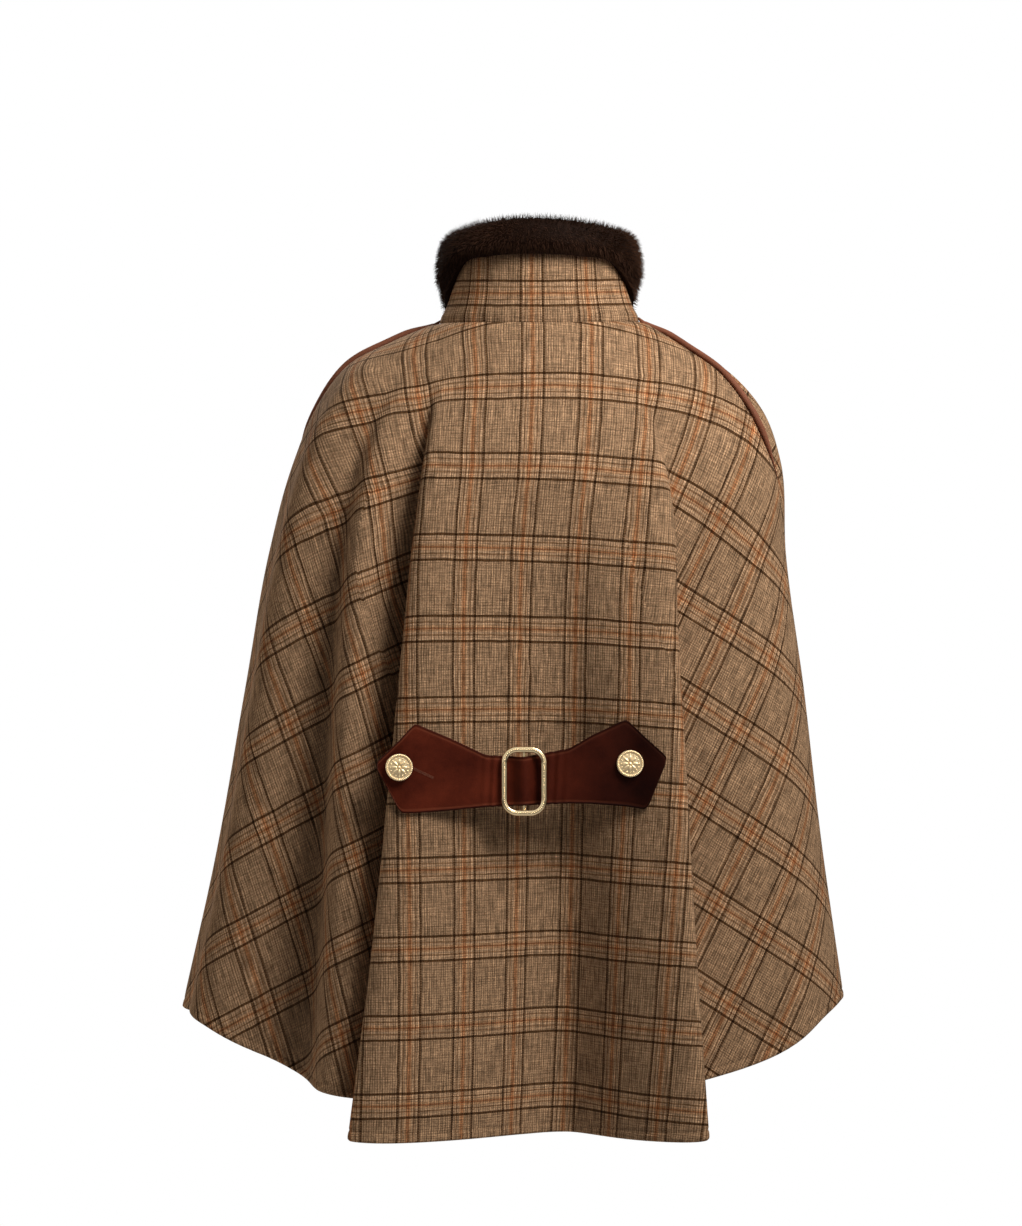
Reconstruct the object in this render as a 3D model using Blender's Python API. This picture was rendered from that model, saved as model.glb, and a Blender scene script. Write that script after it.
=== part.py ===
# A hip-length tweed cape, as it hangs when worn: flared back with two deep flutes, two fronts, a stand
# collar faced with fur, corded shoulder seams and a buttoned half belt with a slide buckle.
# Metres, +Z up. The back is at +Y and the wearer's left at +X. The origin is the middle of the neck seam.
import math

import bpy
import numpy as np
from mathutils import Vector
from mathutils.bvhtree import BVHTree

# Walls, and the gaps between pieces at a seam and where one lies on another
CLOTH_WALL = 0.0024
STAND_WALL = 0.0030
BELT_WALL = 0.0032
SEAM_GAP = 0.0003
LAY_GAP = 0.0005

# Mesh fineness
PANEL_ROWS = 25
BACK_COLUMNS = 68
FRONT_COLUMNS = 24
COLLAR_STATIONS = 41
BELT_STATIONS = 61
BELT_ROWS = 5
WIRE_SIDES = 10
FRAME_STATIONS = 40
BUTTON_SIDES = 24

# The body of the cape: a row for each level, from the neck seam to the hem. drop is the share of the way
# down; z and y place the back, the sides and the front; x is the half width; point sharpens the wings.
SECTION_COLUMNS = ("drop", "z_back", "z_left", "z_right", "z_front",
                   "y_back", "y_side", "y_front", "x_left", "x_right", "point")
SECTIONS = (
    (0.00, 0.010, 0.014, 0.016, -0.050, 0.062, -0.012, -0.088, 0.0905, 0.1050, 1.00),
    (0.07, -0.046, -0.005, -0.009, -0.091, 0.090, -0.008, -0.108, 0.1350, 0.1480, 0.95),
    (0.14, -0.095, -0.028, -0.035, -0.136, 0.113, -0.004, -0.125, 0.1770, 0.1900, 0.90),
    (0.21, -0.147, -0.069, -0.073, -0.184, 0.128, 0.000, -0.138, 0.2070, 0.2220, 0.90),
    (0.28, -0.200, -0.119, -0.119, -0.233, 0.137, 0.000, -0.147, 0.2280, 0.2380, 0.92),
    (0.40, -0.292, -0.204, -0.207, -0.320, 0.143, -0.004, -0.156, 0.2515, 0.2435, 1.00),
    (0.58, -0.431, -0.334, -0.336, -0.452, 0.147, -0.008, -0.167, 0.2750, 0.2610, 1.12),
    (0.79, -0.592, -0.486, -0.484, -0.598, 0.155, -0.012, -0.180, 0.3020, 0.2785, 1.25),
    (1.00, -0.750, -0.640, -0.633, -0.720, 0.165, -0.015, -0.193, 0.3360, 0.3000, 1.35),
)

# How far the hem has risen from the middle to the side, by degrees from the centre back or front
RISE_COLUMNS = ("angle", "left", "right")
RISE = (
    (0.0, 0.00, 0.00),
    (28.0, 0.02, 0.02),
    (36.0, 0.06, 0.07),
    (42.0, 0.18, 0.17),
    (46.0, 0.31, 0.27),
    (50.0, 0.38, 0.39),
    (54.0, 0.60, 0.51),
    (60.0, 0.87, 0.68),
    (66.0, 0.97, 0.83),
    (78.0, 0.97, 0.96),
    (90.0, 0.975, 1.00),
)

# The folds. angle is degrees round the body from the centre back at the hem, + to the wearer's left, and turn
# is how many degrees nearer the centre back the fold lies higher up, and top how many further off it starts.
# start is the drop where it begins and growth the power it grows by. out is how far it stands out (or in, -)
# at the hem, and slide how far it is drawn round, + away from the back. near, far and slide_far are its half
# widths in degrees, and lift is how much the hem rises for each length that the fold is drawn in.
FOLD_COLUMNS = ("angle", "turn", "top", "start", "growth", "out", "slide", "near", "far", "slide_far", "lift")
FOLDS = (
    # deep flute beside the centre panel, left, and the ridge at its rim
    (38.2, 3.6, 1.0, 0.095, 0.84, -0.100, -0.108, 4.6, 11.0, 10.5, 0.12),
    (28.3, 3.6, 1.0, 0.10, 0.80, 0.038, 0.000, 11.0, 5.0, 5.0, 0.0),
    # deep flute beside the centre panel, right, and the ridge at its rim
    (-38.2, -3.8, 0.0, 0.09, 1.00, -0.090, -0.096, 4.6, 15.0, 10.5, 0.12),
    (-28.6, -3.8, 0.0, 0.12, 0.90, 0.034, 0.000, 7.0, 5.0, 5.0, 0.0),
    # the left wing: a roll beside the flute, a trough, and the swell over the arm
    (45.2, 0.0, 0.0, 0.10, 0.92, 0.072, 0.000, 3.6, 3.6, 5.0, 0.0),
    (51.5, 0.0, 0.0, 0.12, 0.60, -0.020, 0.000, 3.4, 5.0, 5.0, 0.12),
    (62.0, 0.0, 0.0, 0.12, 0.45, 0.029, 0.000, 10.0, 9.0, 5.0, 0.0),
    # trough down the centre panel, steeper on the right
    (-7.0, 0.0, 0.0, 0.20, 0.90, -0.080, 0.000, 18.0, 9.5, 5.0, 0.0),
    # soft flutes of the fronts
    (128.0, 0.0, 0.0, 0.16, 1.15, -0.046, 0.000, 8.0, 9.0, 8.0, 0.12),
    (152.0, 0.0, 0.0, 0.22, 1.15, 0.016, 0.000, 8.0, 8.0, 8.0, 0.12),
    (-126.0, 0.0, 0.0, 0.16, 1.15, -0.042, 0.000, 9.0, 8.0, 8.0, 0.12),
    (-150.0, 0.0, 0.0, 0.22, 1.15, 0.016, 0.000, 8.0, 8.0, 8.0, 0.12),
)
FOLD_TURN_FROM = 0.30
FOLD_TOP_TO = 0.28

# The shoulder and side seams, in degrees from the centre back
SEAM_COLUMNS = ("drop", "left", "right")
SEAMS = (
    (0.00, 92.0, -85.0),
    (0.06, 91.0, -79.5),
    (0.12, 91.5, -75.0),
    (0.22, 96.0, -71.5),
    (0.32, 101.0, -77.0),
    (0.50, 102.0, -92.0),
    (1.00, 99.0, -98.0),
)

# The right front laps over the left at the centre front. The left one starts to pass under, and lies wholly
# under, these many laps short of its own edge.
FRONT_OVERLAP = 0.028
UNDER_FROM = 4.2
UNDER_FULL = 2.2

# The columns of a panel gather where the hem turns, from this drop down, by this weight
GATHER_DROP = 0.20
GATHER_WEIGHT = 1.0
ROW_POWER = 1.1

# The collar: a row for the back, side and front of the neck. rise is the height of the stand, inset how far
# its top leans in, pile how thick the fur is and facing how far it reaches down inside, from that top.
COLLAR_COLUMNS = ("rise", "inset", "pile", "facing")
COLLAR = (
    (0.085, 0.0090, 0.0145, 0.036),
    (0.069, 0.0165, 0.0200, 0.036),
    (0.084, 0.0040, 0.0175, 0.036),
)
COLLAR_END_DEGREES = 2.5
STAND_ROWS = (0.0, 0.3, 0.55, 0.75, 0.9, 1.0)

# The fur: how far it falls outside, by degrees from the centre back; how high it stands over the stand; and
# its outer, inner and sewn faces, each a row of how far down the face and, for the first two, what share of
# the full pile stands there. It thins at its two ends.
FUR_FALL_COLUMNS = ("angle", "fall")
FUR_FALL = ((0.0, 0.0210), (30.0, 0.0200), (50.0, 0.0190), (70.0, 0.0320), (92.0, 0.0460), (180.0, 0.0550))
FUR_CROWN = 0.016
FUR_CROWN_PILE = 0.80
FUR_CROWN_DEGREES = (25, 55, 90, 115, 145)
FUR_INNER_PILE = 0.011
FUR_OUTER_FACE = ((1.0, 0.30), (0.82, 0.68), (0.5, 1.0), (0.25, 1.0), (0.02, 0.86))
FUR_INNER_FACE = ((0.1, 1.0), (0.6, 0.95), (1.0, 0.4))
FUR_SEWN_INSIDE = (1.0, 0.5, 0.0)
FUR_SEWN_OUTSIDE = (0.0, 0.35, 0.7, 1.0)
FUR_END_THIN = 0.45
FUR_END_FROM = 0.93

# Piping in the shoulder seams: its radius, its first and last drop, and how it thins out at the arm
PIPE_RADIUS = 0.0030
PIPE_DROPS = (0.006, 0.30)
PIPE_END_THIN = 0.6
PIPE_END_FROM = 0.8

# The half belt: a row for each station across the back, with its upper and lower edge. It lies on the panel
# outside the two places of rest and is drawn straight between them. A hump takes it over the buckle's bar.
BELT_COLUMNS = ("x", "top", "bottom")
BELT = (
    (0.1425, -0.4020, -0.4090),
    (0.1215, -0.3820, -0.4480),
    (0.1085, -0.3675, -0.4480),
    (0.0745, -0.3820, -0.4455),
    (0.0430, -0.3970, -0.4425),
    (0.0080, -0.3985, -0.4410),
    (-0.0340, -0.3910, -0.4395),
    (-0.0545, -0.3790, -0.4400),
    (-0.0865, -0.3640, -0.4425),
    (-0.1055, -0.3820, -0.4455),
    (-0.1222, -0.3970, -0.4040),
)
BELT_REST = (-0.094, 0.112)
BELT_BEND = 0.008
BELT_HUMP = 0.0075
BELT_HUMP_REACH = 0.0142

# The slide buckle
BUCKLE_X = 0.0080
BUCKLE_WIDTH = 0.042
BUCKLE_HEIGHT = 0.064
BUCKLE_CORNER = 0.012
FRAME_RADIUS = 0.0028
BAR_RADIUS = 0.0018
BAR_SET_BACK = 0.0030

# The buttons: where each sits on the strap, and their turned profile from the foot to the dome
BUTTONS = {"button_left": (0.1223, -0.4067), "button_right": (-0.0902, -0.4039)}
PROFILE_COLUMNS = ("radius", "height")
BUTTON_PROFILE = (
    (0.0040, 0.0000),
    (0.0040, 0.0012),
    (0.0112, 0.0014),
    (0.0125, 0.0026),
    (0.0121, 0.0040),
    (0.0108, 0.0042),
    (0.0100, 0.0036),
    (0.0075, 0.0046),
    (0.0040, 0.0052),
)

# Small steps for slopes: of angle and drop on the cloth, and of length on the strap
ANGLE_STEP = 0.002
DROP_STEP = 0.0015
BELT_STEP = 0.004


def table_column(table, names, name):
    return np.array([row[names.index(name)] for row in table])


def smooth(stops, values, at):
    """A smooth curve through one column of a table."""
    stops = np.asarray(stops, float)
    values = np.asarray(values, float)
    slopes = np.gradient(values, stops)
    at = np.clip(at, stops[0], stops[-1])
    index = np.clip(np.searchsorted(stops, at, side="right") - 1, 0, len(stops) - 2)
    width = stops[index + 1] - stops[index]
    share = (at - stops[index]) / width
    rest = 1 - share
    return (values[index] * rest * rest * (1 + 2 * share)
            + values[index + 1] * share * share * (3 - 2 * share)
            + slopes[index] * width * share * rest * rest
            - slopes[index + 1] * width * share * share * rest)


def ease(share):
    share = np.clip(share, 0, 1)
    return share * share * (3 - 2 * share)


def unit(vectors):
    return vectors / np.linalg.norm(vectors, axis=-1, keepdims=True)


def circle(count):
    return np.linspace(0, 2 * math.pi, count, endpoint=False)


def section_size(name, drop):
    stops = table_column(SECTIONS, SECTION_COLUMNS, "drop")
    return smooth(stops, table_column(SECTIONS, SECTION_COLUMNS, name), drop)


def hem_rise(side, angle):
    stops = table_column(RISE, RISE_COLUMNS, "angle")
    return smooth(stops, table_column(RISE, RISE_COLUMNS, side), angle)


def body_point(drop, angle):
    """The cape's outer form without its folds. drop runs from 0 at the neck to 1 at the hem."""
    size = {name: section_size(name, drop) for name in SECTION_COLUMNS[1:]}
    across = np.sin(angle)
    along = np.cos(angle)
    half = (size["x_left"] + size["x_right"] + (size["x_left"] - size["x_right"]) * across) / 2
    reach = np.where(along > 0, size["y_back"] - size["y_side"], size["y_side"] - size["y_front"])
    y = size["y_side"] + reach * np.sign(along) * np.abs(along) ** size["point"]
    top = (size["z_left"] + size["z_right"] + (size["z_left"] - size["z_right"]) * across) / 2
    low = np.where(along > 0, size["z_back"], size["z_front"])
    turned = np.degrees(np.arctan2(np.abs(across), np.abs(along)))
    at_hem = np.where(across > 0, hem_rise("left", turned), hem_rise("right", turned))
    z = low + (top - low) * (across * across * (1 - drop) + at_hem * drop)
    return np.stack((half * across, y, z), axis=-1)


def cape_point(drop, angle):
    """The cape's outer face with its folds."""
    drop, angle = np.broadcast_arrays(np.asarray(drop, float), np.asarray(angle, float))
    point = body_point(drop, angle)
    run = body_point(drop, angle + ANGLE_STEP) - body_point(drop, angle - ANGLE_STEP)
    run[..., 2] = 0
    run = unit(run)
    facing = np.stack((-run[..., 1], run[..., 0], np.zeros_like(drop)), axis=-1)
    out = np.zeros_like(drop)
    slide = np.zeros_like(drop)
    lift = np.zeros_like(drop)
    for row in FOLDS:
        fold = dict(zip(FOLD_COLUMNS, row))
        side = math.copysign(1, fold["angle"])
        turned = fold["turn"] * (1 - drop) * ease(drop / FOLD_TURN_FROM)
        turned = turned - fold["top"] * (1 - ease(drop / FOLD_TOP_TO))
        away = (np.degrees(angle) - fold["angle"]) * side + turned
        grown = np.clip((drop - fold["start"]) / (1 - fold["start"]), 0, 1) ** fold["growth"]
        deep = np.exp(-(away / np.where(away < 0, fold["near"], fold["far"])) ** 2)
        drawn = np.exp(-(away / np.where(away < 0, fold["near"], fold["slide_far"])) ** 2)
        out = out + fold["out"] * grown * deep
        lift = lift - fold["lift"] * fold["out"] * grown * deep
        slide = slide + fold["slide"] * side * grown * drawn
    point = point + facing * out[..., None] + run * slide[..., None]
    point[..., 2] += lift
    return point


def cape_normal(drop, angle):
    drop, angle = np.broadcast_arrays(np.asarray(drop, float), np.asarray(angle, float))
    around = cape_point(drop, angle + ANGLE_STEP) - cape_point(drop, angle - ANGLE_STEP)
    above = np.clip(drop - DROP_STEP, 0, 1)
    below = np.clip(drop + DROP_STEP, 0, 1)
    down = cape_point(below, angle) - cape_point(above, angle)
    return unit(np.cross(around, down))


def angle_for(length, drop, angle):
    """The angle that spans a length round the cape at a place."""
    run = cape_point(drop, angle + ANGLE_STEP) - cape_point(drop, angle - ANGLE_STEP)
    return length * 2 * ANGLE_STEP / np.linalg.norm(run, axis=-1)


def seam_angle(side, drop):
    stops = table_column(SEAMS, SEAM_COLUMNS, "drop")
    return np.radians(smooth(stops, table_column(SEAMS, SEAM_COLUMNS, side), drop))


def panel_drops():
    return np.linspace(0, 1, PANEL_ROWS) ** ROW_POWER


def panel_angles(first, last, count):
    """Columns of a panel: even at the neck, and gathered at the hem where it turns most."""
    fine = np.linspace(first[-1], last[-1], 20 * count)
    step = np.diff(cape_point(1.0, fine)[:, :2], axis=0)
    length = np.hypot(step[:, 0], step[:, 1])
    heading = np.unwrap(np.arctan2(step[:, 1], step[:, 0]))
    turn = np.abs(np.diff(heading, prepend=heading[0]))
    weight = length / length.sum() + GATHER_WEIGHT * turn / turn.sum()
    run = np.concatenate(([0], np.cumsum(weight)))
    at_hem = np.interp(np.linspace(0, run[-1], count), run, fine)
    at_hem = (at_hem - at_hem[0]) / (at_hem[-1] - at_hem[0])
    even = np.linspace(0, 1, count)
    gathered = ease(panel_drops() / GATHER_DROP)[:, None]
    share = even * (1 - gathered) + at_hem * gathered
    return first[:, None] + (last - first)[:, None] * share


def link(name, data, finish):
    data.materials.append(finish)
    made = bpy.data.objects.new(name, data)
    bpy.context.scene.collection.objects.link(made)
    return made


def new_mesh(name, vertices, faces, finish):
    mesh = bpy.data.meshes.new(name)
    mesh.from_pydata([tuple(map(float, vertex)) for vertex in vertices], [], faces)
    mesh.shade_smooth()
    mesh.set_sharp_from_angle(angle=math.radians(40))
    return link(name, mesh, finish)


def wall(name, outer, inner, finish):
    """A closed wall between two grids of points of the same size."""
    rows, columns = outer.shape[:2]
    size = rows * columns
    vertices = np.concatenate((outer.reshape(-1, 3), inner.reshape(-1, 3)))
    faces = []
    for i in range(rows - 1):
        for j in range(columns - 1):
            a = i * columns + j
            b, c, d = a + 1, a + columns + 1, a + columns
            faces.append((a, b, c, d))
            faces.append((a + size, d + size, c + size, b + size))
    rim = list(range(columns))
    rim += [i * columns + columns - 1 for i in range(1, rows)]
    rim += [(rows - 1) * columns + j for j in range(columns - 2, -1, -1)]
    rim += [i * columns for i in range(rows - 2, 0, -1)]
    for here, there in zip(rim, rim[1:] + rim[:1]):
        faces.append((there, here, here + size, there + size))
    return new_mesh(name, vertices, faces, finish)


def loft(name, loops, finish, closed=False):
    """A solid through closed loops of points: a bar with two ends, or a ring if closed."""
    count, around = loops.shape[:2]
    faces = []
    for i in range(count if closed else count - 1):
        here = i * around
        there = ((i + 1) % count) * around
        for j in range(around):
            k = (j + 1) % around
            faces.append((here + j, here + k, there + k, there + j))
    if not closed:
        faces.append(tuple(range(around - 1, -1, -1)))
        faces.append(tuple((count - 1) * around + j for j in range(around)))
    return new_mesh(name, loops.reshape(-1, 3), faces, finish)


def material(name, colour, roughness, metallic=0.0):
    made = bpy.data.materials.new(name)
    made.use_nodes = True
    shader = made.node_tree.nodes["Principled BSDF"]
    shader.inputs["Base Color"].default_value = (*colour, 1.0)
    shader.inputs["Roughness"].default_value = roughness
    shader.inputs["Metallic"].default_value = metallic
    return made


def make_back(tweed):
    drops = panel_drops()
    left = seam_angle("left", drops)
    right = seam_angle("right", drops)
    first = right + angle_for(SEAM_GAP / 2, drops, right)
    last = left - angle_for(SEAM_GAP / 2, drops, left)
    angles = panel_angles(first, last, BACK_COLUMNS)
    outer = cape_point(drops[:, None], angles)
    inner = outer - cape_normal(drops[:, None], angles) * CLOTH_WALL
    return wall("cape_back", outer, inner, tweed)


def make_front(side, tweed):
    drops = panel_drops()
    sign = 1 if side == "left" else -1
    seam = seam_angle(side, drops)
    seam = seam + sign * angle_for(SEAM_GAP / 2, drops, seam)
    lap = angle_for(FRONT_OVERLAP, drops, np.full_like(drops, math.pi * sign))
    edge = sign * (math.pi + lap)
    first, last = (seam, edge) if side == "left" else (edge, seam)
    angles = panel_angles(first, last, FRONT_COLUMNS)
    normal = cape_normal(drops[:, None], angles)
    outer = cape_point(drops[:, None], angles)
    if side == "left":
        laps_short = (edge[:, None] - angles) / lap[:, None]
        under = ease((UNDER_FROM - laps_short) / (UNDER_FROM - UNDER_FULL))
        outer = outer - normal * (under * (CLOTH_WALL + LAY_GAP))[..., None]
    return wall("cape_front_" + side, outer, outer - normal * CLOTH_WALL, tweed)


def collar_size(name, angle):
    """A size of the collar, which passes smoothly from the back to the side and on to the front."""
    back, side, front = table_column(COLLAR, COLLAR_COLUMNS, name)
    return side + np.where(np.cos(angle) > 0, back - side, front - side) * np.cos(angle) ** 2


def fur_fall(angle):
    stops = table_column(FUR_FALL, FUR_FALL_COLUMNS, "angle")
    return smooth(stops, table_column(FUR_FALL, FUR_FALL_COLUMNS, "fall"), np.degrees(np.abs(angle)))


def stand_point(angle, below, out):
    """A point below the top edge of the stand, out from its outer face."""
    neck = np.zeros_like(angle)
    run = body_point(neck, angle + ANGLE_STEP) - body_point(neck, angle - ANGLE_STEP)
    outward = unit(np.stack((-run[:, 1], run[:, 0], neck), axis=-1))
    rise = collar_size("rise", angle)
    height = rise - below
    lean = collar_size("inset", angle) * (1 - (1 - np.clip(height / rise, 0, 1)) ** 3)
    point = body_point(neck, angle) + outward * (out - lean)[:, None]
    point[:, 2] += height
    return point


def collar_angles():
    end = math.pi - math.radians(COLLAR_END_DEGREES)
    return np.linspace(-end, end, COLLAR_STATIONS)


def make_stand(tweed):
    angles = collar_angles()
    reach = collar_size("rise", angles) - LAY_GAP
    flat = np.zeros_like(angles)
    outer = np.stack([stand_point(angles, reach * share, flat) for share in STAND_ROWS])
    inner = np.stack([stand_point(angles, reach * share, flat - STAND_WALL) for share in STAND_ROWS])
    return wall("collar_stand", outer, inner, tweed)


def make_fur(plush):
    """The fur facing: outside the stand, over its top edge and down its inside."""
    angles = collar_angles()
    flat = np.zeros_like(angles)
    end = np.abs(np.linspace(-1, 1, len(angles)))
    full = 1 - FUR_END_THIN * ease((end - FUR_END_FROM) / (1 - FUR_END_FROM))
    pile = collar_size("pile", angles) * full
    inner_pile = FUR_INNER_PILE * full
    fall = fur_fall(angles)
    facing = collar_size("facing", angles)
    outside = LAY_GAP
    inside = -STAND_WALL - LAY_GAP
    loop = [stand_point(angles, fall * down, outside + pile * share) for down, share in FUR_OUTER_FACE]
    crown_pile = pile * FUR_CROWN_PILE
    middle = (outside + crown_pile + inside - inner_pile) / 2
    half = (outside + crown_pile - inside + inner_pile) / 2
    for turn in np.radians(FUR_CROWN_DEGREES):
        loop.append(stand_point(angles, flat - FUR_CROWN * math.sin(turn), middle + half * math.cos(turn)))
    for down, share in FUR_INNER_FACE:
        loop.append(stand_point(angles, facing * down, inside - inner_pile * share))
    loop += [stand_point(angles, facing * down - LAY_GAP, flat + inside) for down in FUR_SEWN_INSIDE]
    loop += [stand_point(angles, fall * down - LAY_GAP, flat + outside) for down in FUR_SEWN_OUTSIDE]
    return loft("collar_fur", np.stack(loop, axis=1), plush)


def make_piping(side, leather):
    """A cord along the shoulder seam, which bends only where the rows of the panels do."""
    drops = panel_drops()
    first, last = PIPE_DROPS
    drops = np.concatenate(([first], drops[(drops > first) & (drops < last)]))
    share = np.linspace(0, 1, len(drops))
    radius = PIPE_RADIUS * (1 - PIPE_END_THIN * ease((share - PIPE_END_FROM) / (1 - PIPE_END_FROM)))
    angle = seam_angle(side, drops)
    path = cape_point(drops, angle) + cape_normal(drops, angle) * (radius + SEAM_GAP)[:, None]
    curve = bpy.data.curves.new("piping_" + side, "CURVE")
    curve.dimensions = "3D"
    curve.bevel_depth = 1.0
    curve.bevel_resolution = 2
    curve.use_fill_caps = True
    spline = curve.splines.new("POLY")
    spline.points.add(len(path) - 1)
    for point, place, thick in zip(spline.points, path, radius):
        point.co = (*map(float, place), 1.0)
        point.radius = float(thick)
    return link("piping_" + side, curve, leather)


def belt_edges(x):
    """The strap's upper and lower edge, straight from corner to corner."""
    stops = table_column(BELT, BELT_COLUMNS, "x")[::-1]
    top = np.interp(x, stops, table_column(BELT, BELT_COLUMNS, "top")[::-1])
    bottom = np.interp(x, stops, table_column(BELT, BELT_COLUMNS, "bottom")[::-1])
    return top, bottom


def cloth_y(tree, x):
    """How far back the cloth reaches behind the strap, which stands upright and runs past the crest."""
    places = np.linspace(np.clip(x, *BELT_REST), x, 7)
    heights = np.linspace(*belt_edges(x), 4)
    back = Vector((0, -1, 0))
    return max(tree.ray_cast(Vector((place, 1.0, z)), back)[0].y for place in places for z in heights)


def belt_back_y(tree, x):
    """The strap's inner face: on the cloth at its ends, straight between them, and over the buckle's bar."""
    first, last = BELT[-1][0], BELT[0][0]
    rest = [cloth_y(tree, place) for place in BELT_REST]
    near = np.clip(np.linspace(x - BELT_BEND, x + BELT_BEND, 5), first, last)
    lying = [max(cloth_y(tree, place), np.interp(place, BELT_REST, rest)) for place in near]
    hump = BELT_HUMP * math.cos(np.clip((x - BUCKLE_X) / BELT_HUMP_REACH, -1, 1) * math.pi / 2) ** 2
    return max(np.mean(lying), cloth_y(tree, x)) + LAY_GAP + hump


def make_belt(tree, leather):
    even = np.linspace(BELT[-1][0], BELT[0][0], BELT_STATIONS)
    stations = np.unique(np.concatenate((even, table_column(BELT, BELT_COLUMNS, "x"))))
    top, bottom = belt_edges(stations)
    back = np.zeros((BELT_ROWS, len(stations), 3))
    for j, x in enumerate(stations):
        back[:, j, 0] = x
        back[:, j, 1] = belt_back_y(tree, x)
        back[:, j, 2] = np.linspace(top[j], bottom[j], BELT_ROWS)
    return wall("half_belt", back + (0, BELT_WALL, 0), back, leather)


def make_buckle(tree, gilt):
    """A slide frame of round wire, with a bar set back behind the strap."""
    top, bottom = belt_edges(BUCKLE_X)
    middle = (top + bottom) / 2
    half_width = BUCKLE_WIDTH / 2 - FRAME_RADIUS
    half_height = BUCKLE_HEIGHT / 2 - FRAME_RADIUS
    posts = (BUCKLE_X - half_width, BUCKLE_X + half_width)
    strap = max(belt_back_y(tree, x) for x in posts) + BELT_WALL
    plane = strap + LAY_GAP + FRAME_RADIUS
    wire = circle(WIRE_SIDES)
    loops = []
    for turn in circle(FRAME_STATIONS):
        along = np.array((math.cos(turn), math.sin(turn)))
        corner = np.copysign((half_width - BUCKLE_CORNER, half_height - BUCKLE_CORNER), along)
        across, up = corner[:, None] + along[:, None] * (BUCKLE_CORNER + FRAME_RADIUS * np.cos(wire))
        loops.append(np.stack((BUCKLE_X + across, plane + FRAME_RADIUS * np.sin(wire), middle + up), axis=1))
    frame = loft("belt_buckle", np.array(loops), gilt, closed=True)
    bar_x = BUCKLE_X + BAR_RADIUS * np.cos(wire)
    bar_y = plane - BAR_SET_BACK + BAR_RADIUS * np.sin(wire)
    ends = [np.full_like(wire, middle + end) for end in (-half_height, half_height)]
    bar = loft("buckle_bar", np.array([np.stack((bar_x, bar_y, end), axis=1) for end in ends]), gilt)
    bar.hide_render = True
    bar.display_type = "WIRE"
    join = frame.modifiers.new("bar", "BOOLEAN")
    join.operation = "UNION"
    join.object = bar
    return [frame, bar]


def make_button(tree, name, gilt):
    """A domed button with a rim, standing on the strap on a short foot."""
    x, z = BUTTONS[name]
    turn = circle(BUTTON_SIDES)
    radii = table_column(BUTTON_PROFILE, PROFILE_COLUMNS, "radius")[:, None]
    heights = table_column(BUTTON_PROFILE, PROFILE_COLUMNS, "height")[:, None]
    loops = np.stack((radii * np.cos(turn), radii * np.sin(turn), heights + 0 * turn), axis=-1)
    made = loft(name, loops, gilt)
    across = belt_back_y(tree, x + BELT_STEP) - belt_back_y(tree, x - BELT_STEP)
    outward = Vector((-across, 2 * BELT_STEP, 0)).normalized()
    made.rotation_mode = "QUATERNION"
    made.rotation_quaternion = outward.to_track_quat("Z", "Y")
    made.location = Vector((x, belt_back_y(tree, x) + BELT_WALL, z)) + outward * LAY_GAP
    return made


def main():
    for thing in list(bpy.data.objects):
        bpy.data.objects.remove(thing, do_unlink=True)
    tweed = material("brown check tweed", (0.235, 0.150, 0.088), 0.92)
    plush = material("dark brown fur", (0.022, 0.009, 0.005), 0.85)
    leather = material("red-brown leather", (0.072, 0.014, 0.007), 0.55)
    gilt = material("polished gilt", (0.78, 0.56, 0.26), 0.22, 1.0)

    back = make_back(tweed)
    tree = BVHTree.FromPolygons([v.co for v in back.data.vertices], [p.vertices for p in back.data.polygons])
    pieces = [back, make_front("left", tweed), make_front("right", tweed)]
    pieces += [make_stand(tweed), make_fur(plush)]
    pieces += [make_piping("left", leather), make_piping("right", leather)]
    pieces += [make_belt(tree, leather)]
    pieces += make_buckle(tree, gilt)
    pieces += [make_button(tree, name, gilt) for name in BUTTONS]

    held = bpy.data.objects.new("held_at_neck", None)
    bpy.context.scene.collection.objects.link(held)
    for piece in pieces:
        piece.parent = held


main()
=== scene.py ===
import math

import bpy
import numpy as np
from mathutils import Matrix, Vector
from mathutils.bvhtree import BVHTree


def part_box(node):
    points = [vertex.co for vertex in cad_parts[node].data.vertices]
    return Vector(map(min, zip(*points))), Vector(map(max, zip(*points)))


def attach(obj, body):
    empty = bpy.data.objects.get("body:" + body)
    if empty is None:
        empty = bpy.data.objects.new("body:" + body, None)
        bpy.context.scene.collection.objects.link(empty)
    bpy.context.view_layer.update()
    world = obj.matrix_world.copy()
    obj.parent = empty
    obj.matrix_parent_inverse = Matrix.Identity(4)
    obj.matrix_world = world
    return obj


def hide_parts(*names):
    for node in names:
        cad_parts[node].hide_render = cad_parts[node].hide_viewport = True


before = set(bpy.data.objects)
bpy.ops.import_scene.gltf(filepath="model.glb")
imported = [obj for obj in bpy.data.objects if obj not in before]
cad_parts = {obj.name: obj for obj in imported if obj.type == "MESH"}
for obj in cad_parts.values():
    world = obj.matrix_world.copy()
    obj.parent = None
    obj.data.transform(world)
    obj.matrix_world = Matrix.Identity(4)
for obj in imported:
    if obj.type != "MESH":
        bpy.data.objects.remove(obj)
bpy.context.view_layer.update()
scene = bpy.context.scene
print("frame loaded with", len(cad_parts), "solids")

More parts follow.
